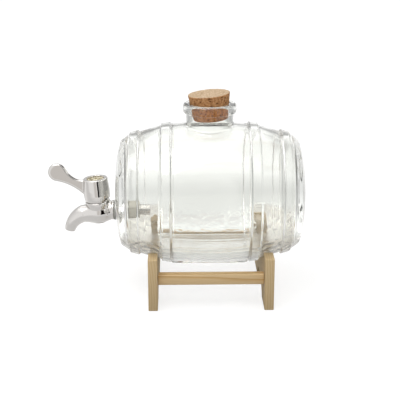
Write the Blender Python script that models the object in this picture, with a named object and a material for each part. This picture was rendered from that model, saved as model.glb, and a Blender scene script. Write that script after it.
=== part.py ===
"""Glass liquor barrel with a quarter-turn tap and a cork, lying on a pine cradle.

Metres, +Z up. +X runs along the barrel away from the tap, and -Y is the front.
The cradle stands on z = 0, and the Z axis passes through the middle of the whole object.
Lengths called rise or drop are measured along Z, and those called reach along the tap, away from the glass.
"""

import math

import bmesh
import bpy
from mathutils import Matrix, Vector

# Clearances shared by all pieces
SEAT_GAP = 0.0003
CUT_OVERRUN = 0.002

# Fineness of the round pieces, as counts
BARREL_FACETS = 48
NECK_FACETS = 32
TAP_FACETS = 24
SMALL_FACETS = 20
SHARP_ANGLE = math.radians(32)

# Glass barrel, measured from its centre
BARREL_AXIS_HEIGHT = 0.088
BARREL_HALF_LENGTH = 0.081
BELLY_RADIUS = 0.0619
SHOULDER_RADIUS = 0.0584
TAPER_END_RADIUS = 0.0503
GLASS_WALL = 0.0035
GLASS_END_WALL = 0.005

# Raised hoops of the barrel
HOOP_WIDTH = 0.0095
HOOP_RISE = 0.0018
HOOP_EDGE = 0.0007
INNER_HOOP_X = 0.0378
OUTER_HOOP_INSET = 0.0157
HOOP_EDGE_SHARES = ((0.0, 0.0), (1.0, 1.0))

# Ends of the barrel
CHIME_WIDTH = 0.0025
CHIME_RADIUS = 0.0475
END_CORNER_RADIUS = 0.0458
END_FLAT_RADIUS = 0.0262
END_BULGE = 0.004
END_BULGE_POWER = 1.5
END_BULGE_STEPS = 3

# Neck and lip
NECK_RADIUS = 0.0205
NECK_RISE = 0.0175
NECK_BORE_RADIUS = 0.017
NECK_FILLET = 0.006
NECK_FILLET_ANGLES = (25, 48, 70, 90)
LIP_RADIUS = 0.0228
LIP_HEIGHT = 0.0078
LIP_MOUTH_EDGE = 0.0012
LIP_PROFILE_SHARES = ((0.0, -0.08), (0.45, 0.0), (0.9, 0.2), (1.0, 0.5), (0.87, 0.8), (0.35, 0.97), (-0.35, 1.0))

# Flat pad moulded under the glass from hoop to hoop, and the small feet under it
PAD_WIDTH = 0.027
PAD_DROP = 0.0003
PAD_EDGE = 0.0006
FOOT_X = 0.02135
FOOT_INSET = 0.0003
FOOT_LENGTH = 0.0076
FOOT_WIDTH = 0.007
FOOT_DROP = 0.0009
FOOT_EDGE = 0.0005
BLOCK_CORNER = 0.0015

# Cork
CORK_HEIGHT = 0.0222
CORK_STANDS_OUT = 0.0095
CORK_FIT = 0.0004
CORK_SLOPE = 0.157
CORK_CHAMFER = 0.0008
CORK_TILT = math.radians(5)

# Cradle boards, whose tops lie a drop below the barrel's axis
BOARD_THICKNESS = 0.008
BOARD_DEPTH = 0.115
BOARD_DROP = 0.042
BOARD_HOOP_CLEARANCE = 0.0027
BOARD_ARCH_WIDTH = 0.058
BOARD_ARCH_RISE = 0.014
CRADLE_ARC_STEPS = 26
ARCH_ARC_STEPS = 14
WOOD_EASE = 0.0005

# Cradle rails and their dowels
RAIL_THICKNESS = 0.0078
RAIL_HEIGHT = 0.009
RAIL_BOTTOM = 0.0215
RAIL_INSET = 0.0055
DOWEL_RADIUS = 0.002
DOWEL_IN_BOARD = 0.005
DOWEL_IN_RAIL = 0.008
DOWEL_CHAMFER = 0.0004

# Tap fixing in the end of the glass
TAP_DROP = 0.0161
THREAD_RADIUS = 0.005
THREAD_CHAMFER = 0.0006
TAIL_LENGTH = 0.029
WASHER_WIDTH = 0.0036
OUTER_WASHER_THICKNESS = 0.0024
INNER_WASHER_THICKNESS = 0.002
NUT_ACROSS_FLATS = 0.0145
NUT_LENGTH = 0.01
NUT_CHAMFER = 0.0008

# Tap body, measured from the outer face of the glass
FLANGE_RADIUS = 0.0088
FLANGE_THICKNESS = 0.0016
FLANGE_EDGE = 0.0004
STUB_RADIUS = 0.0082
VALVE_REACH = 0.0163
TAP_BELLY_RADIUS = 0.0106
BEND_REACH = 0.0303
BEND_DROP = 0.0035
BEND_RADIUS = 0.0077
SPOUT_REACH = 0.0423
SPOUT_DROP = 0.0183
SPOUT_TIP_RADIUS = 0.0046
SPOUT_KNEE_SHARES = (0.83, 0.31)
RUN_STEPS = 8
BEND_STEPS = 7
WATERWAY_RADIUS = 0.003
MOUTH_RADIUS = 0.0036

# Valve, measured from the centre of the plug's port along the leaning valve axis
VALVE_LEAN = math.radians(4.5)
RIM_RISE = 0.0107
BOWL_RADIUS = 0.011
BOWL_FOOT_RADIUS = 0.0073
BOWL_FOOT_RISE = 0.0017
BOWL_STEPS = 6
BOWL_EDGE = 0.0004
COLLAR_EDGE = 0.0003
PLUG_RADIUS = 0.006
PLUG_FOOT_DROP = 0.0086
PLUG_SHOULDER_RISE = 0.009
PLUG_EDGE = 0.0004
STEM_RADIUS = 0.0042
O_RING_OFFSET = 0.0056
O_RING_THICKNESS = 0.0014
O_RING_FACETS = 6
CLIP_THICKNESS = 0.001
CLIP_BITE = 0.0006
CLIP_WIDTH = 0.0021
CLIP_OPENING = math.radians(50)

# Stop lug on the body, and the notch of the hub that it runs in
LUG_DIRECTION = math.radians(-36)
LUG_WIDTH = 0.0042
LUG_FOOT_RISE = 0.0025
LUG_ENTRY = 0.0018
LUG_PROUD = 0.0004
NOTCH_DEPTH = 0.0025
LEVER_TURN = math.radians(90)
NOTCH_STEPS = 12

# Hub of the lever, measured from its rim
HUB_HEIGHT = 0.0203
HUB_TOP_RADIUS = 0.0107
HUB_BELLY_RADIUS = 0.0114
HUB_RIM_RADIUS = 0.0106
HUB_PROFILE_SHARES = ((0.0, 0.0), (0.035, 0.35), (0.12, 0.75), (0.27, 1.0), (0.5, 1.0))
HUB_TOP_EDGE = 0.0006
HUB_BORE_RADIUS = 0.008
SKIRT_WALL = 0.0012
SKIRT_DEPTH = 0.0034
SPLINE_DEPTH = 0.0005
SPLINE_COUNT = 12

# Cored and ribbed head of the plug
HEAD_SINK = 0.0016
HEAD_WALL = 0.0011
CORE_DEPTH = 0.009
CORE_POST_RADIUS = 0.0018
RIB_THICKNESS = 0.0012
RIB_COUNT = 6
CORE_ARC_STEPS = 4

# Arm and paddle of the lever
ARM_THICKNESS = 0.0044
ARM_EDGE = 0.0011
ARM_ROOT_IN_WALL = 0.0013
ARM_ROOT_RISE = 0.0037
ARM_TOP_DROP = 0.001
PADDLE_RADIUS = 0.008
PADDLE_REACH = 0.0322
PADDLE_RISE = 0.0282
PADDLE_ARC_START = math.radians(-73)
PADDLE_ARC_END = math.radians(162)
PADDLE_ARC_STEPS = 16
ARM_CURVE_STEPS = 8
ARM_UNDERSIDE_SHARES = (0.62, 0.6)
ARM_TOPSIDE_SHARES = (0.62, 0.71)

# Places that follow from the sizes
OUTER_HOOP_X = BARREL_HALF_LENGTH - OUTER_HOOP_INSET
SHOULDER_X = INNER_HOOP_X + HOOP_WIDTH / 2
TAPER_END_X = OUTER_HOOP_X + HOOP_WIDTH / 2 + HOOP_EDGE
END_CORNER_X = BARREL_HALF_LENGTH - END_BULGE
CHIME_X = END_CORNER_X - CHIME_WIDTH
LIP_TOP = BELLY_RADIUS + NECK_RISE
PAD_LENGTH = 2 * (INNER_HOOP_X - HOOP_WIDTH / 2 + HOOP_EDGE)
PAD_TIP = -BELLY_RADIUS - PAD_DROP
PAD_ROOT = GLASS_WALL - SHOULDER_RADIUS
FOOT_Y = (PAD_WIDTH - FOOT_WIDTH) / 2 - FOOT_INSET
BOARD_HEIGHT = BARREL_AXIS_HEIGHT - BOARD_DROP
BOARD_INNER_X = SHOULDER_X + BOARD_HOOP_CLEARANCE
BOARD_X = BOARD_INNER_X + BOARD_THICKNESS / 2
RAIL_Y = BOARD_DEPTH / 2 - RAIL_INSET - RAIL_THICKNESS / 2
RAIL_Z = RAIL_BOTTOM + RAIL_HEIGHT / 2
RAIL_HALF_LENGTH = BOARD_INNER_X - SEAT_GAP
TAP_HOLE_RADIUS = THREAD_RADIUS + 2 * SEAT_GAP
FLANGE_FACE = SEAT_GAP + OUTER_WASHER_THICKNESS + SEAT_GAP
STUB_REACH = FLANGE_FACE + FLANGE_THICKNESS / 2
PLUG_BORE_RADIUS = PLUG_RADIUS + SEAT_GAP
HEAD_RADIUS = HUB_BORE_RADIUS - SEAT_GAP
SKIRT_BORE_RADIUS = HUB_RIM_RADIUS - SKIRT_WALL
COLLAR_RADIUS = SKIRT_BORE_RADIUS - SEAT_GAP
COLLAR_RISE = RIM_RISE + SKIRT_DEPTH - SEAT_GAP
HEAD_FOOT_RISE = COLLAR_RISE + SEAT_GAP
HUB_TOP_RISE = RIM_RISE + HUB_HEIGHT
CLIP_FOOT_RISE = PLUG_SHOULDER_RISE + SEAT_GAP

# Materials: colour, roughness, metallic, transmission
FINISHES = {
    "glass": ((0.86, 0.9, 0.86), 0.02, 0.0, 1.0),
    "cork": ((0.45, 0.24, 0.1), 0.85, 0.0, 0.0),
    "pine": ((0.66, 0.45, 0.22), 0.6, 0.0, 0.0),
    "chrome_plate": ((0.83, 0.83, 0.83), 0.06, 1.0, 0.0),
    "cream_plastic": ((0.76, 0.7, 0.52), 0.4, 0.0, 0.0),
    "grey_plastic": ((0.42, 0.41, 0.38), 0.35, 0.0, 0.0),
    "clear_silicone": ((0.8, 0.8, 0.78), 0.45, 0.0, 0.0),
    "black_rubber": ((0.02, 0.02, 0.02), 0.6, 0.0, 0.0),
    "spring_steel": ((0.5, 0.5, 0.5), 0.3, 1.0, 0.0),
}


def clear_scene():
    """Removes every object that is in the scene."""
    for item in list(bpy.data.objects):
        bpy.data.objects.remove(item, do_unlink=True)


def finish_material(name):
    """Returns the material of that name, making it the first time."""
    found = bpy.data.materials.get(name)
    if found:
        return found
    colour, roughness, metallic, transmission = FINISHES[name]
    made = bpy.data.materials.new(name)
    made.use_nodes = True
    shader = made.node_tree.nodes["Principled BSDF"]
    shader.inputs["Base Color"].default_value = (*colour, 1.0)
    shader.inputs["Roughness"].default_value = roughness
    shader.inputs["Metallic"].default_value = metallic
    shader.inputs["Transmission Weight"].default_value = transmission
    return made


def add_frame(name, place, lean=0.0, parent=None):
    """Adds an empty that carries pieces. Lean turns its top towards -X."""
    empty = bpy.data.objects.new(name, None)
    empty.location = place
    empty.rotation_euler = (0.0, -lean, 0.0)
    empty.parent = parent
    bpy.context.scene.collection.objects.link(empty)
    return empty


def add_solid(name, mesh):
    """Adds an object that shows the mesh."""
    item = bpy.data.objects.new(name, mesh)
    bpy.context.scene.collection.objects.link(item)
    return item


def mesh_from(name, shape):
    """Turns a bmesh into a mesh whose faces point out."""
    bmesh.ops.recalc_face_normals(shape, faces=shape.faces)
    mesh = bpy.data.meshes.new(name)
    shape.to_mesh(mesh)
    shape.free()
    return mesh


def skinned(name, rings, endless=False):
    """Makes a solid through rings of points: capped at both ends, or joined into one endless ring."""
    shape = bmesh.new()
    loops = [[shape.verts.new(point) for point in ring] for ring in rings]
    pairs = list(zip(loops, loops[1:]))
    if endless:
        pairs.append((loops[-1], loops[0]))
    for lower, upper in pairs:
        for i in range(len(lower)):
            j = (i + 1) % len(lower)
            shape.faces.new((lower[i], lower[j], upper[j], upper[i]))
    if not endless:
        shape.faces.new(reversed(loops[0]))
        shape.faces.new(loops[-1])
    return add_solid(name, mesh_from(name, shape))


def circle(radius, height, facets, start=0.0):
    """Points of a level circle."""
    angles = [start + math.tau * i / facets for i in range(facets)]
    return [Vector((radius * math.cos(a), radius * math.sin(a), height)) for a in angles]


def turned(name, profile, facets, endless=False):
    """Turns a profile of (radius, height) points about Z."""
    return skinned(name, [circle(radius, height, facets) for radius, height in profile], endless)


def prism(name, outline, low, high):
    """Stands an outline of (x, y) points up between two heights."""
    return skinned(name, [[Vector((x, y, height)) for x, y in outline] for height in (low, high)])


def moved(item, matrix):
    """Applies a matrix to the points of an object's mesh."""
    item.data.transform(matrix)
    return item


def lengthwise(item):
    """Lays a turned piece along X, with its own top towards +X."""
    return moved(item, Matrix.Rotation(math.pi / 2, 4, "Y"))


def combine(target, tool, operation):
    """Joins, cuts or crosses the target with the tool, and removes the tool."""
    step = target.modifiers.new("combine", "BOOLEAN")
    step.operation = operation
    step.solver = "EXACT"
    step.object = tool
    graph = bpy.context.evaluated_depsgraph_get()
    result = bpy.data.meshes.new_from_object(target.evaluated_get(graph))
    target.modifiers.clear()
    target.data = result
    bpy.data.objects.remove(tool, do_unlink=True)


def soften_edges(item, width, segments, least_angle):
    """Rounds every edge of the object that is sharper than the angle."""
    shape = bmesh.new()
    shape.from_mesh(item.data)
    edges = [edge for edge in shape.edges if edge.calc_face_angle(0.0) > least_angle]
    bmesh.ops.bevel(shape, geom=edges, offset=width, segments=segments, profile=0.5, affect="EDGES")
    shape.to_mesh(item.data)
    shape.free()


def complete(item, parent, finish, smooth=True):
    """Gives a piece its parent, material and shading."""
    item.parent = parent
    item.data.name = item.name
    item.data.materials.clear()
    item.data.materials.append(finish_material(finish))
    if smooth:
        item.data.shade_smooth()
        item.data.set_sharp_from_angle(angle=SHARP_ANGLE)
    return item


def mixed(start, end, share):
    """The value that lies a share of the way from start to end."""
    return start + (end - start) * share


def eased(share):
    """A share that starts and stops gently."""
    return share * share * (3 - 2 * share)


def curve_point(start, knee, end, share):
    """A point on the curve that leaves start for the knee and comes to end from it."""
    return tuple(mixed(mixed(a, b, share), mixed(b, c, share), share) for a, b, c in zip(start, knee, end))


# Glass barrel


def wall_radius(x):
    """Outer radius of the barrel between its hoops: a bulging belly, then straight tapers."""
    distance = abs(x)
    if distance <= SHOULDER_X:
        return BELLY_RADIUS - (BELLY_RADIUS - SHOULDER_RADIUS) * (distance / SHOULDER_X) ** 2
    share = (distance - SHOULDER_X) / (TAPER_END_X - SHOULDER_X)
    return mixed(SHOULDER_RADIUS, TAPER_END_RADIUS, share)


def surface_rise(x, y):
    """Height of the barrel's upper surface above its axis."""
    return math.sqrt(wall_radius(x) ** 2 - y ** 2)


def hoop_points(centre):
    """Half-profile points of one raised hoop, from its inner side to its outer side."""
    inner_side = centre - HOOP_WIDTH / 2
    outer_side = centre + HOOP_WIDTH / 2
    points = []
    for across, up in HOOP_EDGE_SHARES:
        x = inner_side + HOOP_EDGE * across
        points.append((x, wall_radius(x) + HOOP_RISE * up))
    for across, up in reversed(HOOP_EDGE_SHARES):
        x = outer_side - HOOP_EDGE * across
        points.append((x, wall_radius(x) + HOOP_RISE * up))
    return points


def end_points(corner_x, corner_radius, flat_radius, bulge):
    """Half-profile points from a corner of the end to its flat middle."""
    points = []
    for step in range(END_BULGE_STEPS + 1):
        share = step / END_BULGE_STEPS
        x = corner_x + bulge * (1 - (1 - share) ** END_BULGE_POWER)
        points.append((x, mixed(corner_radius, flat_radius, share)))
    return points


def outer_half_profile():
    """(x, radius) points of the barrel's outside, from the middle to one end."""
    belly_end = INNER_HOOP_X - HOOP_WIDTH / 2
    points = [(belly_end * share, wall_radius(belly_end * share)) for share in (0.0, 0.35, 0.7)]
    points += hoop_points(INNER_HOOP_X)
    points += hoop_points(OUTER_HOOP_X)
    points.append((CHIME_X, CHIME_RADIUS))
    points += end_points(END_CORNER_X, END_CORNER_RADIUS, END_FLAT_RADIUS, END_BULGE)
    return points


def inner_half_profile():
    """(x, radius) points of the barrel's inside, from the middle to one end."""
    corner_x = CHIME_X - GLASS_WALL
    corner_radius = wall_radius(corner_x) - GLASS_WALL - CHIME_WIDTH
    bulge = BARREL_HALF_LENGTH - GLASS_END_WALL - corner_x
    points = [(SHOULDER_X * share, wall_radius(SHOULDER_X * share) - GLASS_WALL) for share in (0.0, 0.35, 0.7, 1.0)]
    taper_x = corner_x - CHIME_WIDTH
    points.append((taper_x, wall_radius(taper_x) - GLASS_WALL))
    points += end_points(corner_x, corner_radius, END_FLAT_RADIUS, bulge)
    return points


def barrel_turning(name, half_profile):
    """Turns a mirrored half profile about the barrel's axis."""
    mirrored = [(-x, radius) for x, radius in reversed(half_profile[1:])]
    profile = [(radius, x) for x, radius in mirrored + half_profile]
    return lengthwise(turned(name, profile, BARREL_FACETS))


def neck_solid():
    """The neck and its lip, solid, with a fillet that follows the barrel's surface."""
    directions = [math.tau * i / NECK_FACETS for i in range(NECK_FACETS)]

    def surface_ring(radius, above):
        ring = []
        for angle in directions:
            x = radius * math.cos(angle)
            y = radius * math.sin(angle)
            ring.append(Vector((x, y, surface_rise(x, y) + above)))
        return ring

    foot_radius = NECK_RADIUS + NECK_FILLET
    rings = [circle(NECK_RADIUS, SHOULDER_RADIUS / 2, NECK_FACETS)]
    rings.append(surface_ring(foot_radius, -GLASS_WALL / 4))
    for degrees in NECK_FILLET_ANGLES:
        angle = math.radians(degrees)
        radius = foot_radius - NECK_FILLET * math.sin(angle)
        rings.append(surface_ring(radius, NECK_FILLET * (1 - math.cos(angle))))
    lip_foot = LIP_TOP - LIP_HEIGHT
    for out, up in LIP_PROFILE_SHARES:
        radius = NECK_RADIUS + (LIP_RADIUS - NECK_RADIUS) * out
        rings.append(circle(radius, lip_foot + LIP_HEIGHT * up, NECK_FACETS))
    return skinned("neck", rings)


def neck_bore():
    """Cutter for the bore of the neck, with a rounded mouth."""
    straight_top = LIP_TOP - LIP_MOUTH_EDGE
    profile = [
        (NECK_BORE_RADIUS, SHOULDER_RADIUS / 2),
        (NECK_BORE_RADIUS, straight_top),
        (NECK_BORE_RADIUS + LIP_MOUTH_EDGE * 0.3, straight_top + LIP_MOUTH_EDGE * 0.7),
        (NECK_BORE_RADIUS + LIP_MOUTH_EDGE, LIP_TOP),
        (NECK_BORE_RADIUS + LIP_MOUTH_EDGE, LIP_TOP + CUT_OVERRUN),
    ]
    return turned("neck_bore", profile, NECK_FACETS)


def moulded_block(name, place, length, width, tip, edge):
    """A block moulded under the belly: cut corners, a bevelled tip, and a root inside the glass."""
    rings = []
    for height, inset in ((tip, edge), (tip + edge, 0.0), (PAD_ROOT, 0.0)):
        half_x = length / 2 - inset
        half_y = width / 2 - inset
        corners = []
        for sx, sy in ((1, 1), (-1, 1), (-1, -1), (1, -1)):
            along = (half_x - BLOCK_CORNER) * sx, half_y * sy
            beside = half_x * sx, (half_y - BLOCK_CORNER) * sy
            corners += [beside, along] if sx * sy > 0 else [along, beside]
        rings.append([Vector((place[0] + x, place[1] + y, height)) for x, y in corners])
    return skinned(name, rings)


def build_glass_barrel(barrel_frame):
    """The pressed glass: turned outside, neck, pad, feet, cavity, neck bore and tap hole."""
    glass = barrel_turning("glass_barrel", outer_half_profile())
    combine(glass, neck_solid(), "UNION")
    combine(glass, moulded_block("pad", (0.0, 0.0), PAD_LENGTH, PAD_WIDTH, PAD_TIP, PAD_EDGE), "UNION")
    for side_x in (-1, 1):
        for side_y in (-1, 1):
            place = side_x * FOOT_X, side_y * FOOT_Y
            tip = PAD_TIP - FOOT_DROP
            combine(glass, moulded_block("foot", place, FOOT_LENGTH, FOOT_WIDTH, tip, FOOT_EDGE), "UNION")
    combine(glass, barrel_turning("cavity", inner_half_profile()), "DIFFERENCE")
    combine(glass, neck_bore(), "DIFFERENCE")
    hole_span = GLASS_END_WALL + CUT_OVERRUN
    hole = turned("hole", [(TAP_HOLE_RADIUS, -CUT_OVERRUN), (TAP_HOLE_RADIUS, hole_span)], TAP_FACETS)
    place = Vector((-BARREL_HALF_LENGTH, 0.0, -TAP_DROP))
    combine(glass, moved(lengthwise(hole), Matrix.Translation(place)), "DIFFERENCE")
    complete(glass, barrel_frame, "glass")


def build_cork(cork_frame):
    """The tapered stopper, whose frame lies at the top of the neck's straight bore."""
    seat_radius = NECK_BORE_RADIUS - CORK_FIT
    foot = CORK_STANDS_OUT - CORK_HEIGHT

    def side(height, inset=0.0):
        return seat_radius + CORK_SLOPE * height - inset, height

    profile = [
        (side(foot)[0] - CORK_CHAMFER, foot),
        side(foot + CORK_CHAMFER),
        side(0.0),
        side(CORK_STANDS_OUT - CORK_CHAMFER),
        (side(CORK_STANDS_OUT)[0] - CORK_CHAMFER, CORK_STANDS_OUT),
    ]
    cork = turned("cork_stopper", profile, NECK_FACETS)
    complete(cork, cork_frame, "cork")


# Cradle


def board_outline():
    """(y, z) outline of a cradle board: feet, arch, horns and the hollow that holds the barrel."""
    half_depth = BOARD_DEPTH / 2
    half_arch = BOARD_ARCH_WIDTH / 2
    arch_radius = (half_arch ** 2 + BOARD_ARCH_RISE ** 2) / (2 * BOARD_ARCH_RISE)
    arch_centre = BOARD_ARCH_RISE - arch_radius
    arch_angle = math.asin(half_arch / arch_radius)
    hollow_radius = wall_radius(BOARD_INNER_X) + SEAT_GAP
    hollow_angle = math.acos((BARREL_AXIS_HEIGHT - BOARD_HEIGHT) / hollow_radius)
    outline = [(-half_depth, 0.0)]
    for step in range(ARCH_ARC_STEPS + 1):
        angle = mixed(-arch_angle, arch_angle, step / ARCH_ARC_STEPS)
        outline.append((arch_radius * math.sin(angle), arch_centre + arch_radius * math.cos(angle)))
    outline += [(half_depth, 0.0), (half_depth, BOARD_HEIGHT)]
    for step in range(CRADLE_ARC_STEPS + 1):
        angle = mixed(hollow_angle, -hollow_angle, step / CRADLE_ARC_STEPS)
        y = hollow_radius * math.sin(angle)
        outline.append((y, BARREL_AXIS_HEIGHT - hollow_radius * math.cos(angle)))
    outline.append((-half_depth, BOARD_HEIGHT))
    return outline


def dowel_hole(side_x, side_y, depth, radius):
    """Cutter for a dowel hole that opens at the joint between a board and a rail."""
    profile = [(radius, -CUT_OVERRUN), (radius, depth)]
    hole = turned("dowel_hole", profile, SMALL_FACETS)
    turn = Matrix.Rotation(side_x * math.pi / 2, 4, "Y")
    place = Vector((side_x * BOARD_INNER_X, side_y * RAIL_Y, RAIL_Z))
    return moved(hole, Matrix.Translation(place) @ turn)


def build_boards(stand_frame):
    """The two upright boards, each with two blind dowel holes in its inner face."""
    for name, side_x in (("cradle_board_left", -1), ("cradle_board_right", 1)):
        low = side_x * BOARD_X - BOARD_THICKNESS / 2
        rings = [[Vector((x, y, z)) for y, z in board_outline()] for x in (low, low + BOARD_THICKNESS)]
        board = skinned(name, rings)
        soften_edges(board, WOOD_EASE, 1, math.radians(30))
        for side_y in (-1, 1):
            hole = dowel_hole(side_x, side_y, DOWEL_IN_BOARD + SEAT_GAP, DOWEL_RADIUS + SEAT_GAP)
            combine(board, hole, "DIFFERENCE")
        complete(board, stand_frame, "pine", smooth=False)


def build_rails(stand_frame):
    """The two rails between the boards, bored at both ends for the dowels."""
    for name, side_y in (("cradle_rail_front", -1), ("cradle_rail_rear", 1)):
        centre_y = side_y * RAIL_Y
        half = RAIL_THICKNESS / 2
        outline = [(-half, RAIL_BOTTOM), (half, RAIL_BOTTOM)]
        outline += [(half, RAIL_BOTTOM + RAIL_HEIGHT), (-half, RAIL_BOTTOM + RAIL_HEIGHT)]
        ends = (-RAIL_HALF_LENGTH, RAIL_HALF_LENGTH)
        rail = skinned(name, [[Vector((x, centre_y + y, z)) for y, z in outline] for x in ends])
        soften_edges(rail, WOOD_EASE, 1, math.radians(30))
        for side_x in (-1, 1):
            hole = dowel_hole(-side_x, side_y, DOWEL_IN_RAIL + SEAT_GAP, DOWEL_RADIUS + SEAT_GAP)
            shift = Vector((2 * side_x * BOARD_INNER_X, 0.0, 0.0))
            combine(rail, moved(hole, Matrix.Translation(shift)), "DIFFERENCE")
        complete(rail, stand_frame, "pine", smooth=False)


def build_dowels(stand_frame):
    """One dowel in each joint between a rail and a board."""
    profile = [
        (DOWEL_RADIUS - DOWEL_CHAMFER, -DOWEL_IN_RAIL),
        (DOWEL_RADIUS, -DOWEL_IN_RAIL + DOWEL_CHAMFER),
        (DOWEL_RADIUS, DOWEL_IN_BOARD - DOWEL_CHAMFER),
        (DOWEL_RADIUS - DOWEL_CHAMFER, DOWEL_IN_BOARD),
    ]
    for depth_name, side_y in (("front", -1), ("rear", 1)):
        for side_name, side_x in (("left", -1), ("right", 1)):
            dowel = turned(f"rail_dowel_{depth_name}_{side_name}", profile, SMALL_FACETS)
            turn = Matrix.Rotation(side_x * math.pi / 2, 4, "Y")
            place = Vector((side_x * BOARD_INNER_X, side_y * RAIL_Y, RAIL_Z))
            moved(dowel, Matrix.Translation(place) @ turn)
            complete(dowel, stand_frame, "pine")


# Tap fixing


def washer(name, face, thickness):
    """A flat sealing washer on the tap's tail, starting at a face along the tail."""
    inner = THREAD_RADIUS + SEAT_GAP
    outer = inner + WASHER_WIDTH
    profile = [(inner, face), (outer, face), (outer, face + thickness), (inner, face + thickness)]
    return lengthwise(turned(name, profile, TAP_FACETS, endless=True))


def build_fixing(tap_frame):
    """The two washers and the lock nut. Along the tail, X grows into the barrel."""
    outer = washer("tap_washer_outer", -SEAT_GAP - OUTER_WASHER_THICKNESS, OUTER_WASHER_THICKNESS)
    complete(outer, tap_frame, "clear_silicone")
    inner_face = GLASS_END_WALL + SEAT_GAP
    inner = washer("tap_washer_inner", inner_face, INNER_WASHER_THICKNESS)
    complete(inner, tap_frame, "clear_silicone")
    low = inner_face + INNER_WASHER_THICKNESS + SEAT_GAP
    high = low + NUT_LENGTH
    corner = NUT_ACROSS_FLATS / 2 / math.cos(math.pi / 6)
    nut = skinned("tap_lock_nut", [circle(corner, low, 6), circle(corner, high, 6)])
    flank = NUT_ACROSS_FLATS / 2
    rounding = [
        (flank, low - CUT_OVERRUN / 4),
        (flank + NUT_CHAMFER * 2, low + NUT_CHAMFER),
        (flank + NUT_CHAMFER * 2, high - NUT_CHAMFER),
        (flank, high + CUT_OVERRUN / 4),
    ]
    combine(nut, turned("rounding", rounding, TAP_FACETS), "INTERSECT")
    bore = [(THREAD_RADIUS + SEAT_GAP, low - CUT_OVERRUN), (THREAD_RADIUS + SEAT_GAP, high + CUT_OVERRUN)]
    combine(nut, turned("bore", bore, TAP_FACETS), "DIFFERENCE")
    complete(lengthwise(nut), tap_frame, "grey_plastic")


# Tap body


def run_drop(reach):
    """How far the middle of the body has dropped on the straight run from the flange to the bend."""
    return BEND_DROP * (reach - STUB_REACH) / (BEND_REACH - STUB_REACH)


def run_radius(reach):
    """Radius of the body on that run: it swells to the belly under the valve and draws in again."""
    if reach < VALVE_REACH:
        return mixed(STUB_RADIUS, TAP_BELLY_RADIUS, eased((reach - STUB_REACH) / (VALVE_REACH - STUB_REACH)))
    return mixed(TAP_BELLY_RADIUS, BEND_RADIUS, eased((reach - VALVE_REACH) / (BEND_REACH - VALVE_REACH)))


def body_stations():
    """(reach, drop, radius) of the body's middle line, from the flange to the spout's tip."""
    stations = []
    for step in range(RUN_STEPS):
        reach = mixed(STUB_REACH, BEND_REACH, step / RUN_STEPS)
        stations.append((reach, run_drop(reach), run_radius(reach)))
    across, down = SPOUT_KNEE_SHARES
    knee = (mixed(BEND_REACH, SPOUT_REACH, across), mixed(BEND_DROP, SPOUT_DROP, down))
    for step in range(BEND_STEPS + 1):
        share = step / BEND_STEPS
        reach, drop = curve_point((BEND_REACH, BEND_DROP), knee, (SPOUT_REACH, SPOUT_DROP), share)
        stations.append((reach, drop, mixed(BEND_RADIUS, SPOUT_TIP_RADIUS, share)))
    return stations


def tube_along(name, stations, facets):
    """A tube through (reach, drop, radius) stations, with rings square to its middle line."""
    middles = [Vector((-reach, 0.0, -drop)) for reach, drop, _ in stations]
    rings = []
    for i, (_, _, radius) in enumerate(stations):
        before = middles[max(i - 1, 0)]
        after = middles[min(i + 1, len(middles) - 1)]
        forward = (after - before).normalized()
        up = Vector((0.0, 1.0, 0.0)).cross(forward)
        ring = []
        for j in range(facets):
            angle = math.tau * j / facets
            ring.append(middles[i] + up * (radius * math.cos(angle)) + Vector((0.0, radius * math.sin(angle), 0.0)))
        rings.append(ring)
    return skinned(name, rings)


def port_place():
    """Centre of the plug's port, in the tap's frame."""
    return Vector((-VALVE_REACH, 0.0, -run_drop(VALVE_REACH)))


def valve_matrix():
    """Takes points on the valve's leaning axis into the tap's frame."""
    return Matrix.Translation(port_place()) @ Matrix.Rotation(-VALVE_LEAN, 4, "Y")


def bowl_and_collar():
    """The bowl under the hub, and the collar that the hub's skirt runs on."""
    shoulder = RIM_RISE - SEAT_GAP
    edge_start = shoulder - BOWL_EDGE
    profile = [(BOWL_FOOT_RADIUS, 0.0)]
    for step in range(BOWL_STEPS + 1):
        angle = math.pi / 2 * step / BOWL_STEPS
        radius = mixed(BOWL_FOOT_RADIUS, BOWL_RADIUS, math.sin(angle))
        rise = mixed(edge_start, BOWL_FOOT_RISE, math.cos(angle))
        profile.append((radius, rise))
    profile += [
        (BOWL_RADIUS - BOWL_EDGE, shoulder),
        (COLLAR_RADIUS, shoulder),
        (COLLAR_RADIUS, COLLAR_RISE - COLLAR_EDGE),
        (COLLAR_RADIUS - COLLAR_EDGE, COLLAR_RISE),
    ]
    return turned("bowl", profile, TAP_FACETS)


def stop_lug():
    """The lug that stands out of the bowl and up into the hub's notch."""
    inner = COLLAR_RADIUS - COLLAR_EDGE
    outer = BOWL_RADIUS + LUG_PROUD
    half = LUG_WIDTH / 2
    outline = [(inner, -half), (outer, -half), (outer, half), (inner, half)]
    lug = prism("lug", outline, LUG_FOOT_RISE, RIM_RISE + LUG_ENTRY)
    return moved(lug, Matrix.Rotation(LUG_DIRECTION, 4, "Z"))


def plug_bore():
    """Cutter for the bore of the plug, with the groove of the retaining ring."""
    groove_radius = PLUG_BORE_RADIUS + CLIP_BITE + SEAT_GAP
    groove_foot = CLIP_FOOT_RISE - SEAT_GAP
    groove_top = CLIP_FOOT_RISE + CLIP_THICKNESS + SEAT_GAP
    profile = [
        (PLUG_BORE_RADIUS, -PLUG_FOOT_DROP - SEAT_GAP),
        (PLUG_BORE_RADIUS, groove_foot),
        (groove_radius, groove_foot),
        (groove_radius, groove_top),
        (PLUG_BORE_RADIUS, groove_top),
        (PLUG_BORE_RADIUS, COLLAR_RISE + CUT_OVERRUN),
    ]
    return turned("plug_bore", profile, TAP_FACETS)


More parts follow.
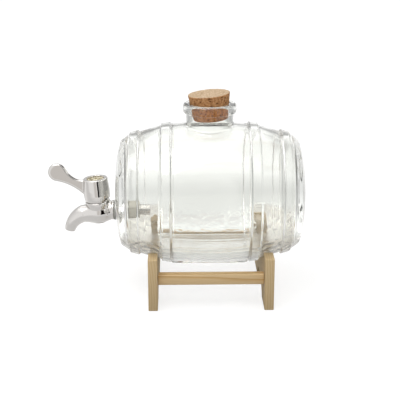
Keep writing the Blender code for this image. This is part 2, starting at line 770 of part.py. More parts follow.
def flange_and_tail():
    """The flange, and the threaded tail that goes through the glass."""
    face = -FLANGE_FACE
    back = face - FLANGE_THICKNESS
    profile = [
        (THREAD_RADIUS, back - FLANGE_THICKNESS),
        (THREAD_RADIUS, back),
        (FLANGE_RADIUS - FLANGE_EDGE, back),
        (FLANGE_RADIUS, back + FLANGE_EDGE),
        (FLANGE_RADIUS, face),
        (THREAD_RADIUS, face),
        (THREAD_RADIUS, TAIL_LENGTH - THREAD_CHAMFER),
        (THREAD_RADIUS - THREAD_CHAMFER, TAIL_LENGTH),
    ]
    return lengthwise(turned("flange", profile, TAP_FACETS))


def waterway():
    """Cutter for the passage from the tail's end to the tip of the spout."""
    inside = -(TAIL_LENGTH + CUT_OVERRUN)
    stations = [(inside, 0.0, WATERWAY_RADIUS)]
    for reach, drop, _ in body_stations():
        share = max(0.0, (reach - BEND_REACH) / (SPOUT_REACH - BEND_REACH))
        stations.append((reach, drop, mixed(WATERWAY_RADIUS, MOUTH_RADIUS, share)))
    (last_reach, last_drop, _), (reach, drop, _) = stations[-2:]
    stations.append((2 * reach - last_reach, 2 * drop - last_drop, MOUTH_RADIUS))
    return tube_along("waterway", stations, SMALL_FACETS)


def build_tap_body(tap_frame):
    """The one moulding that holds the valve and carries the spout."""
    body = tube_along("tap_body", body_stations(), TAP_FACETS)
    combine(body, flange_and_tail(), "UNION")
    combine(body, moved(bowl_and_collar(), valve_matrix()), "UNION")
    combine(body, moved(stop_lug(), valve_matrix()), "UNION")
    combine(body, moved(plug_bore(), valve_matrix()), "DIFFERENCE")
    combine(body, waterway(), "DIFFERENCE")
    complete(body, tap_frame, "chrome_plate")


# Valve


def splined_outline(radius):
    """Outline with a shallow flute between every two splines."""
    points = []
    for i in range(2 * SPLINE_COUNT):
        reach = radius - SPLINE_DEPTH * (i % 2)
        angle = math.pi * i / SPLINE_COUNT
        points.append((reach * math.cos(angle), reach * math.sin(angle)))
    return points


def core_pocket(index):
    """Cutter for one of the pockets between the ribs of the plug's head."""
    top = HUB_TOP_RISE - HEAD_SINK
    outer = HEAD_RADIUS - SPLINE_DEPTH - HEAD_WALL
    start = math.tau * index / RIB_COUNT
    end = start + math.tau / RIB_COUNT

    def arc(radius, first, last):
        trim = math.asin(RIB_THICKNESS / 2 / radius)
        low, high = (first + trim, last - trim) if last > first else (first - trim, last + trim)
        angles = [mixed(low, high, i / CORE_ARC_STEPS) for i in range(CORE_ARC_STEPS + 1)]
        return [(radius * math.cos(a), radius * math.sin(a)) for a in angles]

    outline = arc(outer, start, end) + arc(CORE_POST_RADIUS, end, start)
    return prism("pocket", outline, top - CORE_DEPTH, top + CUT_OVERRUN)


def plug_profile():
    """(radius, rise) profile of the plug below its head, with its two ring grooves."""
    groove_radius = PLUG_RADIUS - O_RING_THICKNESS - SEAT_GAP
    half_groove = O_RING_THICKNESS / 2 + SEAT_GAP
    profile = [(PLUG_RADIUS - PLUG_EDGE, -PLUG_FOOT_DROP), (PLUG_RADIUS, -PLUG_FOOT_DROP + PLUG_EDGE)]
    for centre in (-O_RING_OFFSET, O_RING_OFFSET):
        profile += [
            (PLUG_RADIUS, centre - half_groove),
            (groove_radius, centre - half_groove),
            (groove_radius, centre + half_groove),
            (PLUG_RADIUS, centre + half_groove),
        ]
    profile += [
        (PLUG_RADIUS, PLUG_SHOULDER_RISE - PLUG_EDGE),
        (PLUG_RADIUS - PLUG_EDGE, PLUG_SHOULDER_RISE),
        (STEM_RADIUS, PLUG_SHOULDER_RISE),
        (STEM_RADIUS, HEAD_FOOT_RISE + SEAT_GAP),
    ]
    return profile


def build_plug(lever_frame):
    """The plug, whose port lies across the waterway while the tap is shut."""
    plug = turned("valve_plug", plug_profile(), TAP_FACETS)
    head_top = HUB_TOP_RISE - HEAD_SINK
    combine(plug, prism("head", splined_outline(HEAD_RADIUS), HEAD_FOOT_RISE, head_top), "UNION")
    for index in range(RIB_COUNT):
        combine(plug, core_pocket(index), "DIFFERENCE")
    span = PLUG_RADIUS + CUT_OVERRUN
    port = turned("port", [(WATERWAY_RADIUS, -span), (WATERWAY_RADIUS, span)], SMALL_FACETS)
    combine(plug, moved(port, Matrix.Rotation(math.pi / 2, 4, "X")), "DIFFERENCE")
    complete(plug, lever_frame, "cream_plastic")


def build_o_rings(lever_frame):
    """The two rings that seal the plug above and below its port."""
    middle = PLUG_RADIUS - O_RING_THICKNESS / 2
    for name, centre in (("plug_o_ring_lower", -O_RING_OFFSET), ("plug_o_ring_upper", O_RING_OFFSET)):
        section = circle(O_RING_THICKNESS / 2, 0.0, O_RING_FACETS)
        profile = [(middle + point.x, centre + point.y) for point in section]
        ring = turned(name, profile, TAP_FACETS, endless=True)
        complete(ring, lever_frame, "black_rubber")


def build_retaining_ring(valve_frame):
    """The open spring ring in the body's groove, above the plug's shoulder."""
    outer = PLUG_BORE_RADIUS + CLIP_BITE
    inner = outer - CLIP_WIDTH
    low, high = CLIP_FOOT_RISE, CLIP_FOOT_RISE + CLIP_THICKNESS
    rings = []
    for step in range(TAP_FACETS + 1):
        angle = mixed(CLIP_OPENING / 2, math.tau - CLIP_OPENING / 2, step / TAP_FACETS)
        direction = Vector((math.cos(angle), math.sin(angle), 0.0))
        section = ((inner, low), (outer, low), (outer, high), (inner, high))
        rings.append([direction * radius + Vector((0.0, 0.0, height)) for radius, height in section])
    complete(skinned("plug_retaining_ring", rings), valve_frame, "spring_steel")


# Lever


def arm_outline():
    """(outward, height) outline of the arm: root, underside, round paddle and topside."""
    root = HUB_BORE_RADIUS + ARM_ROOT_IN_WALL
    foot = (root, ARM_ROOT_RISE)
    top = (root, HUB_HEIGHT - ARM_TOP_DROP)

    def on_paddle(angle):
        return PADDLE_REACH + PADDLE_RADIUS * math.cos(angle), PADDLE_RISE + PADDLE_RADIUS * math.sin(angle)

    under_knee = (PADDLE_REACH * ARM_UNDERSIDE_SHARES[0], PADDLE_RISE * ARM_UNDERSIDE_SHARES[1])
    over_knee = (PADDLE_REACH * ARM_TOPSIDE_SHARES[0], PADDLE_RISE * ARM_TOPSIDE_SHARES[1])
    steps = range(ARM_CURVE_STEPS)
    outline = [curve_point(foot, under_knee, on_paddle(PADDLE_ARC_START), i / ARM_CURVE_STEPS) for i in steps]
    for i in range(PADDLE_ARC_STEPS + 1):
        outline.append(on_paddle(mixed(PADDLE_ARC_START, PADDLE_ARC_END, i / PADDLE_ARC_STEPS)))
    outline += [curve_point(on_paddle(PADDLE_ARC_END), over_knee, top, (i + 1) / ARM_CURVE_STEPS) for i in steps]
    return outline


def lever_arm():
    """The flat upright arm, rounded along its edges."""
    half = ARM_THICKNESS / 2
    rings = [[Vector((-out, y, RIM_RISE + up)) for out, up in arm_outline()] for y in (-half, half)]
    arm = skinned("arm", rings)
    shape = bmesh.new()
    shape.from_mesh(arm.data)
    root_x = -(HUB_BORE_RADIUS + 2 * ARM_ROOT_IN_WALL)
    faces = [face for face in shape.faces if abs(face.normal.y) > 0.9]
    edges = {edge for face in faces for edge in face.edges if min(v.co.x for v in edge.verts) < root_x}
    bmesh.ops.bevel(shape, geom=list(edges), offset=ARM_EDGE, segments=2, profile=0.5, affect="EDGES")
    shape.to_mesh(arm.data)
    shape.free()
    return arm


def hub_solid():
    """The turned hub, before it is hollowed."""
    profile = []
    for up, out in HUB_PROFILE_SHARES:
        profile.append((mixed(HUB_RIM_RADIUS, HUB_BELLY_RADIUS, out), RIM_RISE + HUB_HEIGHT * up))
    profile += [
        (HUB_TOP_RADIUS, HUB_TOP_RISE - HUB_TOP_EDGE),
        (HUB_TOP_RADIUS - HUB_TOP_EDGE, HUB_TOP_RISE),
    ]
    return turned("tap_lever", profile, 2 * SMALL_FACETS)


def hub_notch():
    """Cutter for the notch in the skirt that lets the lever turn past the lug."""
    lug_half = math.asin((LUG_WIDTH / 2 + SEAT_GAP) / COLLAR_RADIUS)
    start = LUG_DIRECTION - lug_half
    end = LUG_DIRECTION + lug_half + LEVER_TURN
    inner = COLLAR_RADIUS
    outer = HUB_BELLY_RADIUS + CUT_OVERRUN
    angles = [mixed(start, end, i / NOTCH_STEPS) for i in range(NOTCH_STEPS + 1)]
    outline = [(outer * math.cos(a), outer * math.sin(a)) for a in angles]
    outline += [(inner * math.cos(a), inner * math.sin(a)) for a in reversed(angles)]
    return prism("notch", outline, RIM_RISE - CUT_OVERRUN, RIM_RISE + NOTCH_DEPTH)


def build_lever(lever_frame):
    """The hub with its skirt, notch and splined bore, and the arm with its paddle."""
    lever = hub_solid()
    combine(lever, lever_arm(), "UNION")
    bore = prism("bore", splined_outline(HUB_BORE_RADIUS), RIM_RISE - CUT_OVERRUN, HUB_TOP_RISE + CUT_OVERRUN)
    combine(lever, bore, "DIFFERENCE")
    skirt = [(SKIRT_BORE_RADIUS, RIM_RISE - CUT_OVERRUN), (SKIRT_BORE_RADIUS, RIM_RISE + SKIRT_DEPTH)]
    combine(lever, turned("skirt", skirt, 2 * SMALL_FACETS), "DIFFERENCE")
    combine(lever, hub_notch(), "DIFFERENCE")
    complete(lever, lever_frame, "chrome_plate")


# Assembly


def paddle_tip_reach():
    """How far the shut lever's paddle reaches from the outer face of the glass."""
    rise = RIM_RISE + PADDLE_RISE
    along = PADDLE_REACH * math.cos(VALVE_LEAN) + rise * math.sin(VALVE_LEAN)
    return VALVE_REACH + along + PADDLE_RADIUS


def build():
    """Builds every piece on the frame that carries it."""
    clear_scene()
    middle_x = paddle_tip_reach() / 2
    stand_frame = add_frame("stand_frame", (middle_x, 0.0, 0.0))
    barrel_frame = add_frame("barrel_frame", (middle_x, 0.0, BARREL_AXIS_HEIGHT))
    cork_frame = add_frame("cork_frame", (0.0, 0.0, LIP_TOP - LIP_MOUTH_EDGE), CORK_TILT, barrel_frame)
    tap_frame = add_frame("tap_frame", (-BARREL_HALF_LENGTH, 0.0, -TAP_DROP), 0.0, barrel_frame)
    valve_frame = add_frame("valve_frame", port_place(), VALVE_LEAN, tap_frame)
    lever_frame = add_frame("lever_frame", (0.0, 0.0, 0.0), 0.0, valve_frame)
    build_glass_barrel(barrel_frame)
    build_cork(cork_frame)
    build_boards(stand_frame)
    build_rails(stand_frame)
    build_dowels(stand_frame)
    build_fixing(tap_frame)
    build_tap_body(tap_frame)
    build_plug(lever_frame)
    build_o_rings(lever_frame)
    build_retaining_ring(valve_frame)
    build_lever(lever_frame)
    bpy.context.view_layer.update()


build()
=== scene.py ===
"""Looks of the glass liquor barrel: pressed glass, cork, pine cradle and a chrome-plated quarter-turn tap."""

import logging
import math
from dataclasses import dataclass, field
from enum import Enum
from typing import Callable, Mapping, Sequence

import bmesh
import bpy
from mathutils import Matrix, Vector, noise


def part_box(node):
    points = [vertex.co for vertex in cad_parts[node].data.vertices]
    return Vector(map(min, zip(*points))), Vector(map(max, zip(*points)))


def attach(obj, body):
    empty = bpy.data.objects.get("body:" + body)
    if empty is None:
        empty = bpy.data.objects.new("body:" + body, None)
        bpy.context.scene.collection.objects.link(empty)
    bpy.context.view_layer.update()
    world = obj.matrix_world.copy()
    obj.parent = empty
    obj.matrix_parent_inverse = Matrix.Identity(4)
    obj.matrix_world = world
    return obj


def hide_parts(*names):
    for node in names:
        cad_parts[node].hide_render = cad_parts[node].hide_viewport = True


LOG = logging.getLogger("barrel")
UP = Vector((0.0, 0.0, 1.0))
WHITE = (1.0, 1.0, 1.0, 1.0)
# Outline corners flatter than this stay, and a rounding takes at most this share of an edge beside it
STRAIGHT = math.radians(179.0)
ROUNDING_SHARE = 0.48
# Edges that turn by more than this count as sharp
SHARP = math.radians(30.0)
# Size of the cells and rounds of smoothing that melt the seams of the plated mouldings
MOULD_CELL = 0.0003
MOULD_ROUNDS = 5
# How far cutters reach past what they cut
OVERRUN = 0.002

Point = tuple[float, float]
Triple = tuple[float, float, float]
Ring = list[Vector]
Solid = bpy.types.Object
Socket = bpy.types.NodeSocket

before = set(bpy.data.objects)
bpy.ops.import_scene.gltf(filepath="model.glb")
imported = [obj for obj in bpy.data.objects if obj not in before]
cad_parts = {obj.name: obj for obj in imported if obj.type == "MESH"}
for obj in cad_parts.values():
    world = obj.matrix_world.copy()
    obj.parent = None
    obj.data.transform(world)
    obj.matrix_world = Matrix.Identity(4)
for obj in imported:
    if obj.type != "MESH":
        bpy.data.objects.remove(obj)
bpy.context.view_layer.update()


class Body(Enum):
    """The bodies that pieces ride on."""

    STAND = "stand"
    BARREL = "barrel"
    LEVER = "lever"
    CORK = "cork"


class Slot(Enum):
    """The record's finishes of the pieces that are made here."""

    GLASS = "glass"
    CORK = "cork"
    PINE = "pine"
    CHROME = "chrome_plate"
    SILICONE = "clear_silicone"
    GREY_PLASTIC = "grey_plastic"


class Grain(Enum):
    """The way that the fibres of a wooden piece run."""

    ALONG_X = "X"
    ALONG_Y = "Y"


class Cut(Enum):
    """What a tool does to a solid."""

    JOIN = "UNION"
    TAKE_AWAY = "DIFFERENCE"
    KEEP_COMMON = "INTERSECT"


# Shaping


def mixed(start: float, end: float, share: float) -> float:
    """Return the value that lies a share of the way from start to end."""
    return start + (end - start) * share


def eased(share: float) -> float:
    """Return a share that starts and stops gently."""
    return share * share * (3.0 - 2.0 * share)


def on_circle(radius: float, angle: float) -> Point:
    """Return the point of a circle at an angle."""
    return radius * math.cos(angle), radius * math.sin(angle)


def along_curve(start: Point, knee: Point, end: Point, share: float) -> Point:
    """Return a point on the curve that leaves start for the knee and comes to end from it.

    Args:
        start: First point.
        knee: Point that the curve bends towards.
        end: Last point.
        share: How far along the curve, from 0 to 1.

    Returns:
        The point's two coordinates.
    """
    return (
        mixed(mixed(start[0], knee[0], share), mixed(knee[0], end[0], share), share),
        mixed(mixed(start[1], knee[1], share), mixed(knee[1], end[1], share), share),
    )


def rounded(points: Sequence[Point], radii: Sequence[float], steps: int = 5) -> list[Point]:
    """Round the inner corners of an open outline.

    Args:
        points: Corners of the outline.
        radii: Radius of each corner, 0 where it stays sharp.
        steps: Pieces in each rounding.

    Returns:
        The outline with its corners replaced by arcs.
    """
    made = [points[0]]
    for index in range(1, len(points) - 1):
        corner = Vector(points[index])
        before = Vector(points[index - 1]) - corner
        after = Vector(points[index + 1]) - corner
        angle = before.angle(after, math.pi)
        if radii[index] <= 0.0 or angle > STRAIGHT:
            made.append(points[index])
            continue
        reach = radii[index] / math.tan(angle / 2.0)
        reach = min(reach, before.length * ROUNDING_SHARE, after.length * ROUNDING_SHARE)
        start = corner + before.normalized() * reach
        end = corner + after.normalized() * reach
        for step in range(steps + 1):
            made.append(along_curve(tuple(start), tuple(corner), tuple(end), step / steps))
    made.append(points[-1])
    return made


def add_mesh(name: str, shape: bmesh.types.BMesh) -> Solid:
    """Turn a bmesh, which is freed, into a shown object whose faces point out."""
    bmesh.ops.recalc_face_normals(shape, faces=shape.faces)
    mesh = bpy.data.meshes.new(name)
    shape.to_mesh(mesh)
    shape.free()
    item = bpy.data.objects.new(name, mesh)
    bpy.context.scene.collection.objects.link(item)
    return item


def skinned(name: str, rings: Sequence[Ring], endless: bool = False) -> Solid:
    """Skin rings of points into a solid.

    Args:
        name: Name of the object.
        rings: Rings with the same count of points each.
        endless: True to join the last ring to the first, False to cap both.

    Returns:
        The solid.
    """
    shape = bmesh.new()
    loops = [[shape.verts.new(point) for point in ring] for ring in rings]
    pairs = list(zip(loops, loops[1:]))
    if endless:
        pairs.append((loops[-1], loops[0]))
    for lower, upper in pairs:
        for i in range(len(lower)):
            j = (i + 1) % len(lower)
            shape.faces.new((lower[i], lower[j], upper[j], upper[i]))
    if not endless:
        shape.faces.new(tuple(reversed(loops[0])))
        shape.faces.new(tuple(loops[-1]))
    return add_mesh(name, shape)


def circle(radius: float, height: float, count: int) -> Ring:
    """Return the points of a level circle."""
    return [Vector((*on_circle(radius, math.tau * i / count), height)) for i in range(count)]


def turned(name: str, profile: Sequence[Point], count: int, endless: bool = False) -> Solid:
    """Turn a profile about Z.

    Args:
        name: Name of the object.
        profile: Points of (radius, height).
        count: Facets round the turning.
        endless: True for a ring, whose profile closes on itself.

    Returns:
        The turned solid.
    """
    return skinned(name, [circle(radius, height, count) for radius, height in profile], endless)


def bar(name: str, radius: float, ends: Point, count: int) -> Solid:
    """Return a round bar between two heights."""
    return turned(name, [(radius, height) for height in ends], count)


def upright(name: str, outline: Sequence[Point], heights: Point) -> Solid:
    """Return the solid between two heights over an outline of (x, y)."""
    return skinned(name, [[Vector((x, y, z)) for x, y in outline] for z in heights])


def crosswise(name: str, outline: Sequence[Point], ends: Point) -> Solid:
    """Return the solid between two places along X whose section is an outline of (y, z)."""
    return skinned(name, [[Vector((x, y, z)) for y, z in outline] for x in ends])


def moved(item: Solid, matrix: Matrix) -> Solid:
    """Apply a matrix to the points of an object and return the object."""
    item.data.transform(matrix)
    return item


def lengthwise(item: Solid) -> Solid:
    """Lay a turned piece along X, with its own top towards +X."""
    return moved(item, Matrix.Rotation(math.pi / 2.0, 4, "Y"))


def at_left_end(item: Solid, node: str) -> Solid:
    """Move a piece from the origin to the middle of the left side of a CAD node's box."""
    low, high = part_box(node)
    middle = (low + high) / 2.0
    return moved(item, Matrix.Translation((low.x, middle.y, middle.z)))


def with_modifier(item: Solid, kind: str, **settings: object) -> Solid:
    """Apply one of Blender's modifiers to an object's mesh.

    Args:
        item: The object.
        kind: Kind of the modifier.
        **settings: Values of the modifier.

    Returns:
        The object, with the modifier applied.
    """
    step = item.modifiers.new(kind.lower(), kind)
    for key, value in settings.items():
        setattr(step, key, value)
    graph = bpy.context.evaluated_depsgraph_get()
    result = bpy.data.meshes.new_from_object(item.evaluated_get(graph))
    item.modifiers.clear()
    item.data = result
    return item


def combined(target: Solid, tool: Solid, cut: Cut) -> Solid:
    """Join, cut or cross the target with a tool, which is used up.

    Args:
        target: The solid that stays.
        tool: The solid that is removed afterwards.
        cut: What the tool does.

    Returns:
        The target.
    """
    with_modifier(target, "BOOLEAN", operation=cut.value, solver="EXACT", object=tool)
    bpy.data.objects.remove(tool, do_unlink=True)
    return target


def sharp_edges(shape: bmesh.types.BMesh) -> list[bmesh.types.BMEdge]:
    """Return the sharp edges of a mesh."""
    return [edge for edge in shape.edges if edge.calc_face_angle(0.0) > SHARP]


def flat_side_edges(shape: bmesh.types.BMesh) -> list[bmesh.types.BMEdge]:
    """Return the edges of the faces that look along Y."""
    return list({edge for face in shape.faces if abs(face.normal.y) > 0.9 for edge in face.edges})


def bevelled(
    item: Solid,
    width: float,
    edges_of: Callable[[bmesh.types.BMesh], list[bmesh.types.BMEdge]] = sharp_edges,
    segments: int = 3,
) -> Solid:
    """Round edges of an object.

    Args:
        item: The object.
        width: Width of the rounding.
        edges_of: What picks the edges.
        segments: Pieces in the rounding.

    Returns:
        The object.
    """
    shape = bmesh.new()
    shape.from_mesh(item.data)
    edges = edges_of(shape)
    bmesh.ops.bevel(shape, geom=edges, offset=width, segments=segments, profile=0.5, affect="EDGES")
    shape.to_mesh(item.data)
    shape.free()
    return item


def moulded(item: Solid) -> Solid:
    """Melt the seams of a built-up solid into fillets, as a mould leaves them, and return it."""
    with_modifier(item, "REMESH", mode="VOXEL", voxel_size=MOULD_CELL, use_smooth_shade=True)
    return with_modifier(item, "SMOOTH", factor=0.5, iterations=MOULD_ROUNDS)


def shaded(item: Solid, sharp_degrees: float = 40.0) -> Solid:
    """Shade an object smooth, apart from its sharp edges, and return it."""
    item.data.shade_smooth()
    item.data.set_sharp_from_angle(angle=math.radians(sharp_degrees))
    return item


def fitted(
    item: Solid, body: Body, material: bpy.types.Material, nodes: Sequence[str] = ()
) -> None:
    """Put a finished piece on the body that carries it.

    Args:
        item: The piece.
        body: The body that it rides on.
        material: Its material.
        nodes: CAD nodes that it stands for.
    """
    item.data.name = item.name
    item.data.materials.clear()
    item.data.materials.append(material)
    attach(item, body.value)
    if nodes:
        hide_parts(*nodes)
    LOG.info("%s rides on %s, %d faces", item.name, body.value, len(item.data.polygons))


def dressed(node: str, material: bpy.types.Material) -> None:
    """Give a carried-over CAD node its material."""
    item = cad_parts[node]
    item.data.materials.clear()
    item.data.materials.append(material)
    LOG.info("%s keeps its own solid", node)


# Materials


def linear(hex_colour: str) -> tuple[float, float, float, float]:
    """Turn an sRGB hex colour into linear values.

    Args:
        hex_colour: Six hex digits.

    Returns:
        Linear red, green and blue, and full alpha.
    """
    parts = [int(hex_colour[i:i + 2], 16) / 255.0 for i in (0, 2, 4)]
    red, green, blue = [v / 12.92 if v <= 0.04045 else ((v + 0.055) / 1.055) ** 2.4 for v in parts]
    return red, green, blue, 1.0


class NodeSheet:
    """A node tree under construction."""

    def __init__(self, tree: bpy.types.NodeTree) -> None:
        """Work on that tree."""
        self.tree = tree

    def fill(self, node: bpy.types.Node, inputs: dict[str | int, object]) -> None:
        """Set or link a node's inputs, by their names or numbers."""
        for key, value in inputs.items():
            if isinstance(value, Socket):
                self.tree.links.new(value, node.inputs[key])
            else:
                node.inputs[key].default_value = value

    def add_node(
        self, kind: str, inputs: dict[str | int, object] | None = None, out: str | int = 0, **settings: object
    ) -> Socket:
        """Add a shader node with its settings, values and links.

        Args:
            kind: Blender's name of the node's type, after the word ShaderNode.
            inputs: Value or incoming socket for each input, by name or number.
            out: The output that is wanted, by name or number.
            **settings: Other values of the node.

        Returns:
            That output.
        """
        node = self.tree.nodes.new("ShaderNode" + kind)
        for key, value in settings.items():
            setattr(node, key, value)
        self.fill(node, inputs or {})
        return node.outputs[out]

    def set_ramp(self, colour: Socket, stops: Sequence[tuple[float, str]]) -> None:
        """Set the places and hex colours of the colour ramp that a colour comes from."""
        ramp = colour.node.color_ramp
        while len(ramp.elements) < len(stops):
            ramp.elements.new(1.0)
        for element, (place, shade) in zip(ramp.elements, stops):
            element.position = place
            element.color = linear(shade)


class Recipe(NodeSheet):
    """A material under construction: its node tree and its one shader."""

    def __init__(self, name: str) -> None:
        """Start a material of that name with a plain Principled shader."""
        self.material = bpy.data.materials.new(name)
        self.material.use_nodes = True
        super().__init__(self.material.node_tree)
        self.shader = self.tree.nodes["Principled BSDF"]

    def set_shader(self, values: dict[str, object]) -> None:
        """Set or link the shader's own sockets, by their names."""
        self.fill(self.shader, values)

    def place(self, scale: Triple = (1.0, 1.0, 1.0)) -> Socket:
        """Return the place on the piece in metres, divided by the size given for each axis."""
        here = self.add_node("TexCoord", out="Object")
        return self.add_node("Mapping", {"Vector": here, "Scale": tuple(1.0 / size for size in scale)})

    def speckle(self, size: float, detail: float = 2.0, roughness: float = 0.5) -> Socket:
        """Return even noise whose grains have a size in metres."""
        where = self.place((size, size, size))
        inputs = {"Vector": where, "Scale": 1.0, "Detail": detail, "Roughness": roughness}
        return self.add_node("TexNoise", inputs)

    def give_relief(self, height: Socket, depth: float) -> None:
        """Raise and sink the surface by a pattern whose full step is a depth in metres."""
        self.set_shader({"Normal": self.add_node("Bump", {"Height": height, "Distance": depth})})


@dataclass(frozen=True)
class PressedSodaLimeGlass:
    """Soda-lime glass, pressed and blown in a mould: clear, with a faint green cast in thick places."""

    middle: Vector
    radius: float
    body_colour: str = "FDFEFB"
    index: float = 1.52
    # The blown inside has slow waves about 14 mm apart, which bend what lies behind a little
    wave_spacing: float = 0.014
    wave_depth: float = 0.00013
    # Glass that sank to the bottom while it was soft has flow lines there, which run along the barrel.
    # They lie under a plane that leans to the front, and smear what lies behind into a haze.
    flow_top: Vector = field(default_factory=lambda: Vector((0.0, 0.309, 0.951)))
    flow_start: float = -0.0338
    flow_fade: float = 0.002
    flow_end: float = -0.0535
    # Spacing round the barrel, length and depth of the broad lines and of the fine ones between them
    broad_lines: Triple = (0.006, 0.3, 0.00026)
    fine_lines: Triple = (0.0013, 0.16, 0.00006)
    # The mould's worn face left a faint haze between these lines
    haze_roughness: float = 0.18
    # Chill wrinkles 4 mm across lie low on the rear wall, where the glass met the cold mould first
    wrinkle_size: float = 0.004
    wrinkle_depth: float = 0.0003
    wrinkle_start: float = -0.025
    wrinkle_fade: float = 0.006
    # Thick glass froze in lumps 4.5 mm across in the lower corners, beyond the inner hoops, and
    # has a deeper, olive cast there
    thick_colour: str = "ECE9E1"
    lump_roughness: float = 0.04
    lump_size: float = 0.0045
    lump_depth: float = 0.001
    lump_start: float = 0.039
    lump_top: float = -0.026
    lump_fade: float = 0.005

    def lines(self, recipe: Recipe, unrolled: Socket, sizes: Triple) -> Socket:
        """Return the height of drawn-out lines over the unrolled surface, in metres."""
        spacing, length, depth = sizes
        where = recipe.add_node("VectorMath", {
            0: unrolled, 1: (1.0 / length, self.radius / spacing, 0.0)}, operation="MULTIPLY")
        share = recipe.add_node("TexNoise", {"Vector": where, "Scale": 1.0, "Detail": 0.0})
        return recipe.add_node("Math", {0: share, 1: depth}, operation="MULTIPLY")

    def flow_share(self, recipe: Recipe, place: Socket, height: Socket) -> Socket:
        """Return 1 where the flow lines lie and 0 elsewhere."""
        rise = recipe.add_node("VectorMath", {
            0: place, 1: self.flow_top}, out="Value", operation="DOT_PRODUCT")
        under = self.fading(recipe, rise, self.flow_start, -self.flow_fade)
        over = self.fading(recipe, height, self.flow_end, self.flow_fade)
        return recipe.add_node("Math", {0: under, 1: over}, operation="MULTIPLY")

    def flow_lines(self, recipe: Recipe, parts: Mapping[str, Socket], share: Socket) -> Socket:
        """Return the height of the flow lines, in metres."""
        turn = recipe.add_node("Math", {0: parts["Z"], 1: parts["Y"]}, operation="ARCTAN2")
        unrolled = recipe.add_node("CombineXYZ", {"X": parts["X"], "Y": turn})
        broad = self.lines(recipe, unrolled, self.broad_lines)
        fine = self.lines(recipe, unrolled, self.fine_lines)
        both = recipe.add_node("Math", {0: broad, 1: fine}, operation="ADD")
        return recipe.add_node("Math", {0: both, 1: share}, operation="MULTIPLY")

    def wrinkles(self, recipe: Recipe, parts: Mapping[str, Socket]) -> Socket:
        """Return the height of the wrinkles low on the rear wall, in metres."""
        low = self.fading(recipe, parts["Z"], self.wrinkle_start, -self.wrinkle_fade)
        rear = self.fading(recipe, parts["Y"], self.wrinkle_fade, self.wrinkle_fade)
        return self.dimpled(recipe, (low, rear), self.wrinkle_size, self.wrinkle_depth)

    def corner_shares(self, recipe: Recipe, parts: Mapping[str, Socket]) -> tuple[Socket, Socket]:
        """Return two shares that are both 1 in the thick lower corners: how low, and how far out."""
        away = recipe.add_node("Math", {0: parts["X"]}, operation="ABSOLUTE")
        outside = self.fading(recipe, away, self.lump_start, self.lump_fade)
        return self.fading(recipe, parts["Z"], self.lump_top, -self.lump_fade), outside

    def dress_body(self, recipe: Recipe, flows: Socket, corners: Sequence[Socket]) -> None:
        """Give the glass its colour and haze, which both deepen in the thick corners.

        Args:
            recipe: The glass's material.
            flows: 1 where the flow lines lie.
            corners: The two shares of the thick corners.
        """
        thick = recipe.add_node("Math", {0: corners[0], 1: corners[1]}, operation="MULTIPLY")
        colour = recipe.add_node("Mix", {
            "Factor": thick, 6: linear(self.body_colour), 7: linear(self.thick_colour),
        }, out=2, data_type="RGBA")
        flow_haze = recipe.add_node("Math", {0: flows, 1: self.haze_roughness}, operation="MULTIPLY")
        haze = recipe.add_node("Math", {
            0: thick, 1: self.lump_roughness, 2: flow_haze}, operation="MULTIPLY_ADD")
        recipe.set_shader({
            "Base Color": colour, "IOR": self.index, "Roughness": haze, "Transmission Weight": 1.0})

    def dimpled(self, recipe: Recipe, shares: Sequence[Socket], size: float, depth: float) -> Socket:
        """Return the height of dimples of a size and a depth, where both shares allow them."""
        where = recipe.add_node("Math", {0: shares[0], 1: shares[1]}, operation="MULTIPLY")
        grains = recipe.speckle(size, detail=0.0)
        height = recipe.add_node("Math", {0: grains, 1: depth}, operation="MULTIPLY")
        return recipe.add_node("Math", {0: where, 1: height}, operation="MULTIPLY")

    def fading(self, recipe: Recipe, value: Socket, start: float, span: float) -> Socket:
        """Return a share that goes from 0 at the start to 1 a span further on."""
        return recipe.add_node("MapRange", {
            "Value": value, "From Min": start, "From Max": start + span}, interpolation_type="SMOOTHSTEP")

    def material(self) -> bpy.types.Material:
        """Return the material."""
        recipe = Recipe("pressed_soda_lime_glass")
        waves = recipe.speckle(self.wave_spacing, detail=1.0)
        place = recipe.add_node("VectorMath", {0: recipe.place(), 1: self.middle}, operation="SUBTRACT")
        parts = recipe.add_node("SeparateXYZ", {"Vector": place}).node.outputs
        share = self.flow_share(recipe, place, parts["Z"])
        height = recipe.add_node("Math", {
            0: waves, 1: self.wave_depth, 2: self.flow_lines(recipe, parts, share)}, operation="MULTIPLY_ADD")
        corners = self.corner_shares(recipe, parts)
        lumps = self.dimpled(recipe, corners, self.lump_size, self.lump_depth)
        for more in (self.wrinkles(recipe, parts), lumps):
            height = recipe.add_node("Math", {0: height, 1: more}, operation="ADD")
        recipe.give_relief(height, 1.0)
        self.dress_body(recipe, share, corners)
        return recipe.material


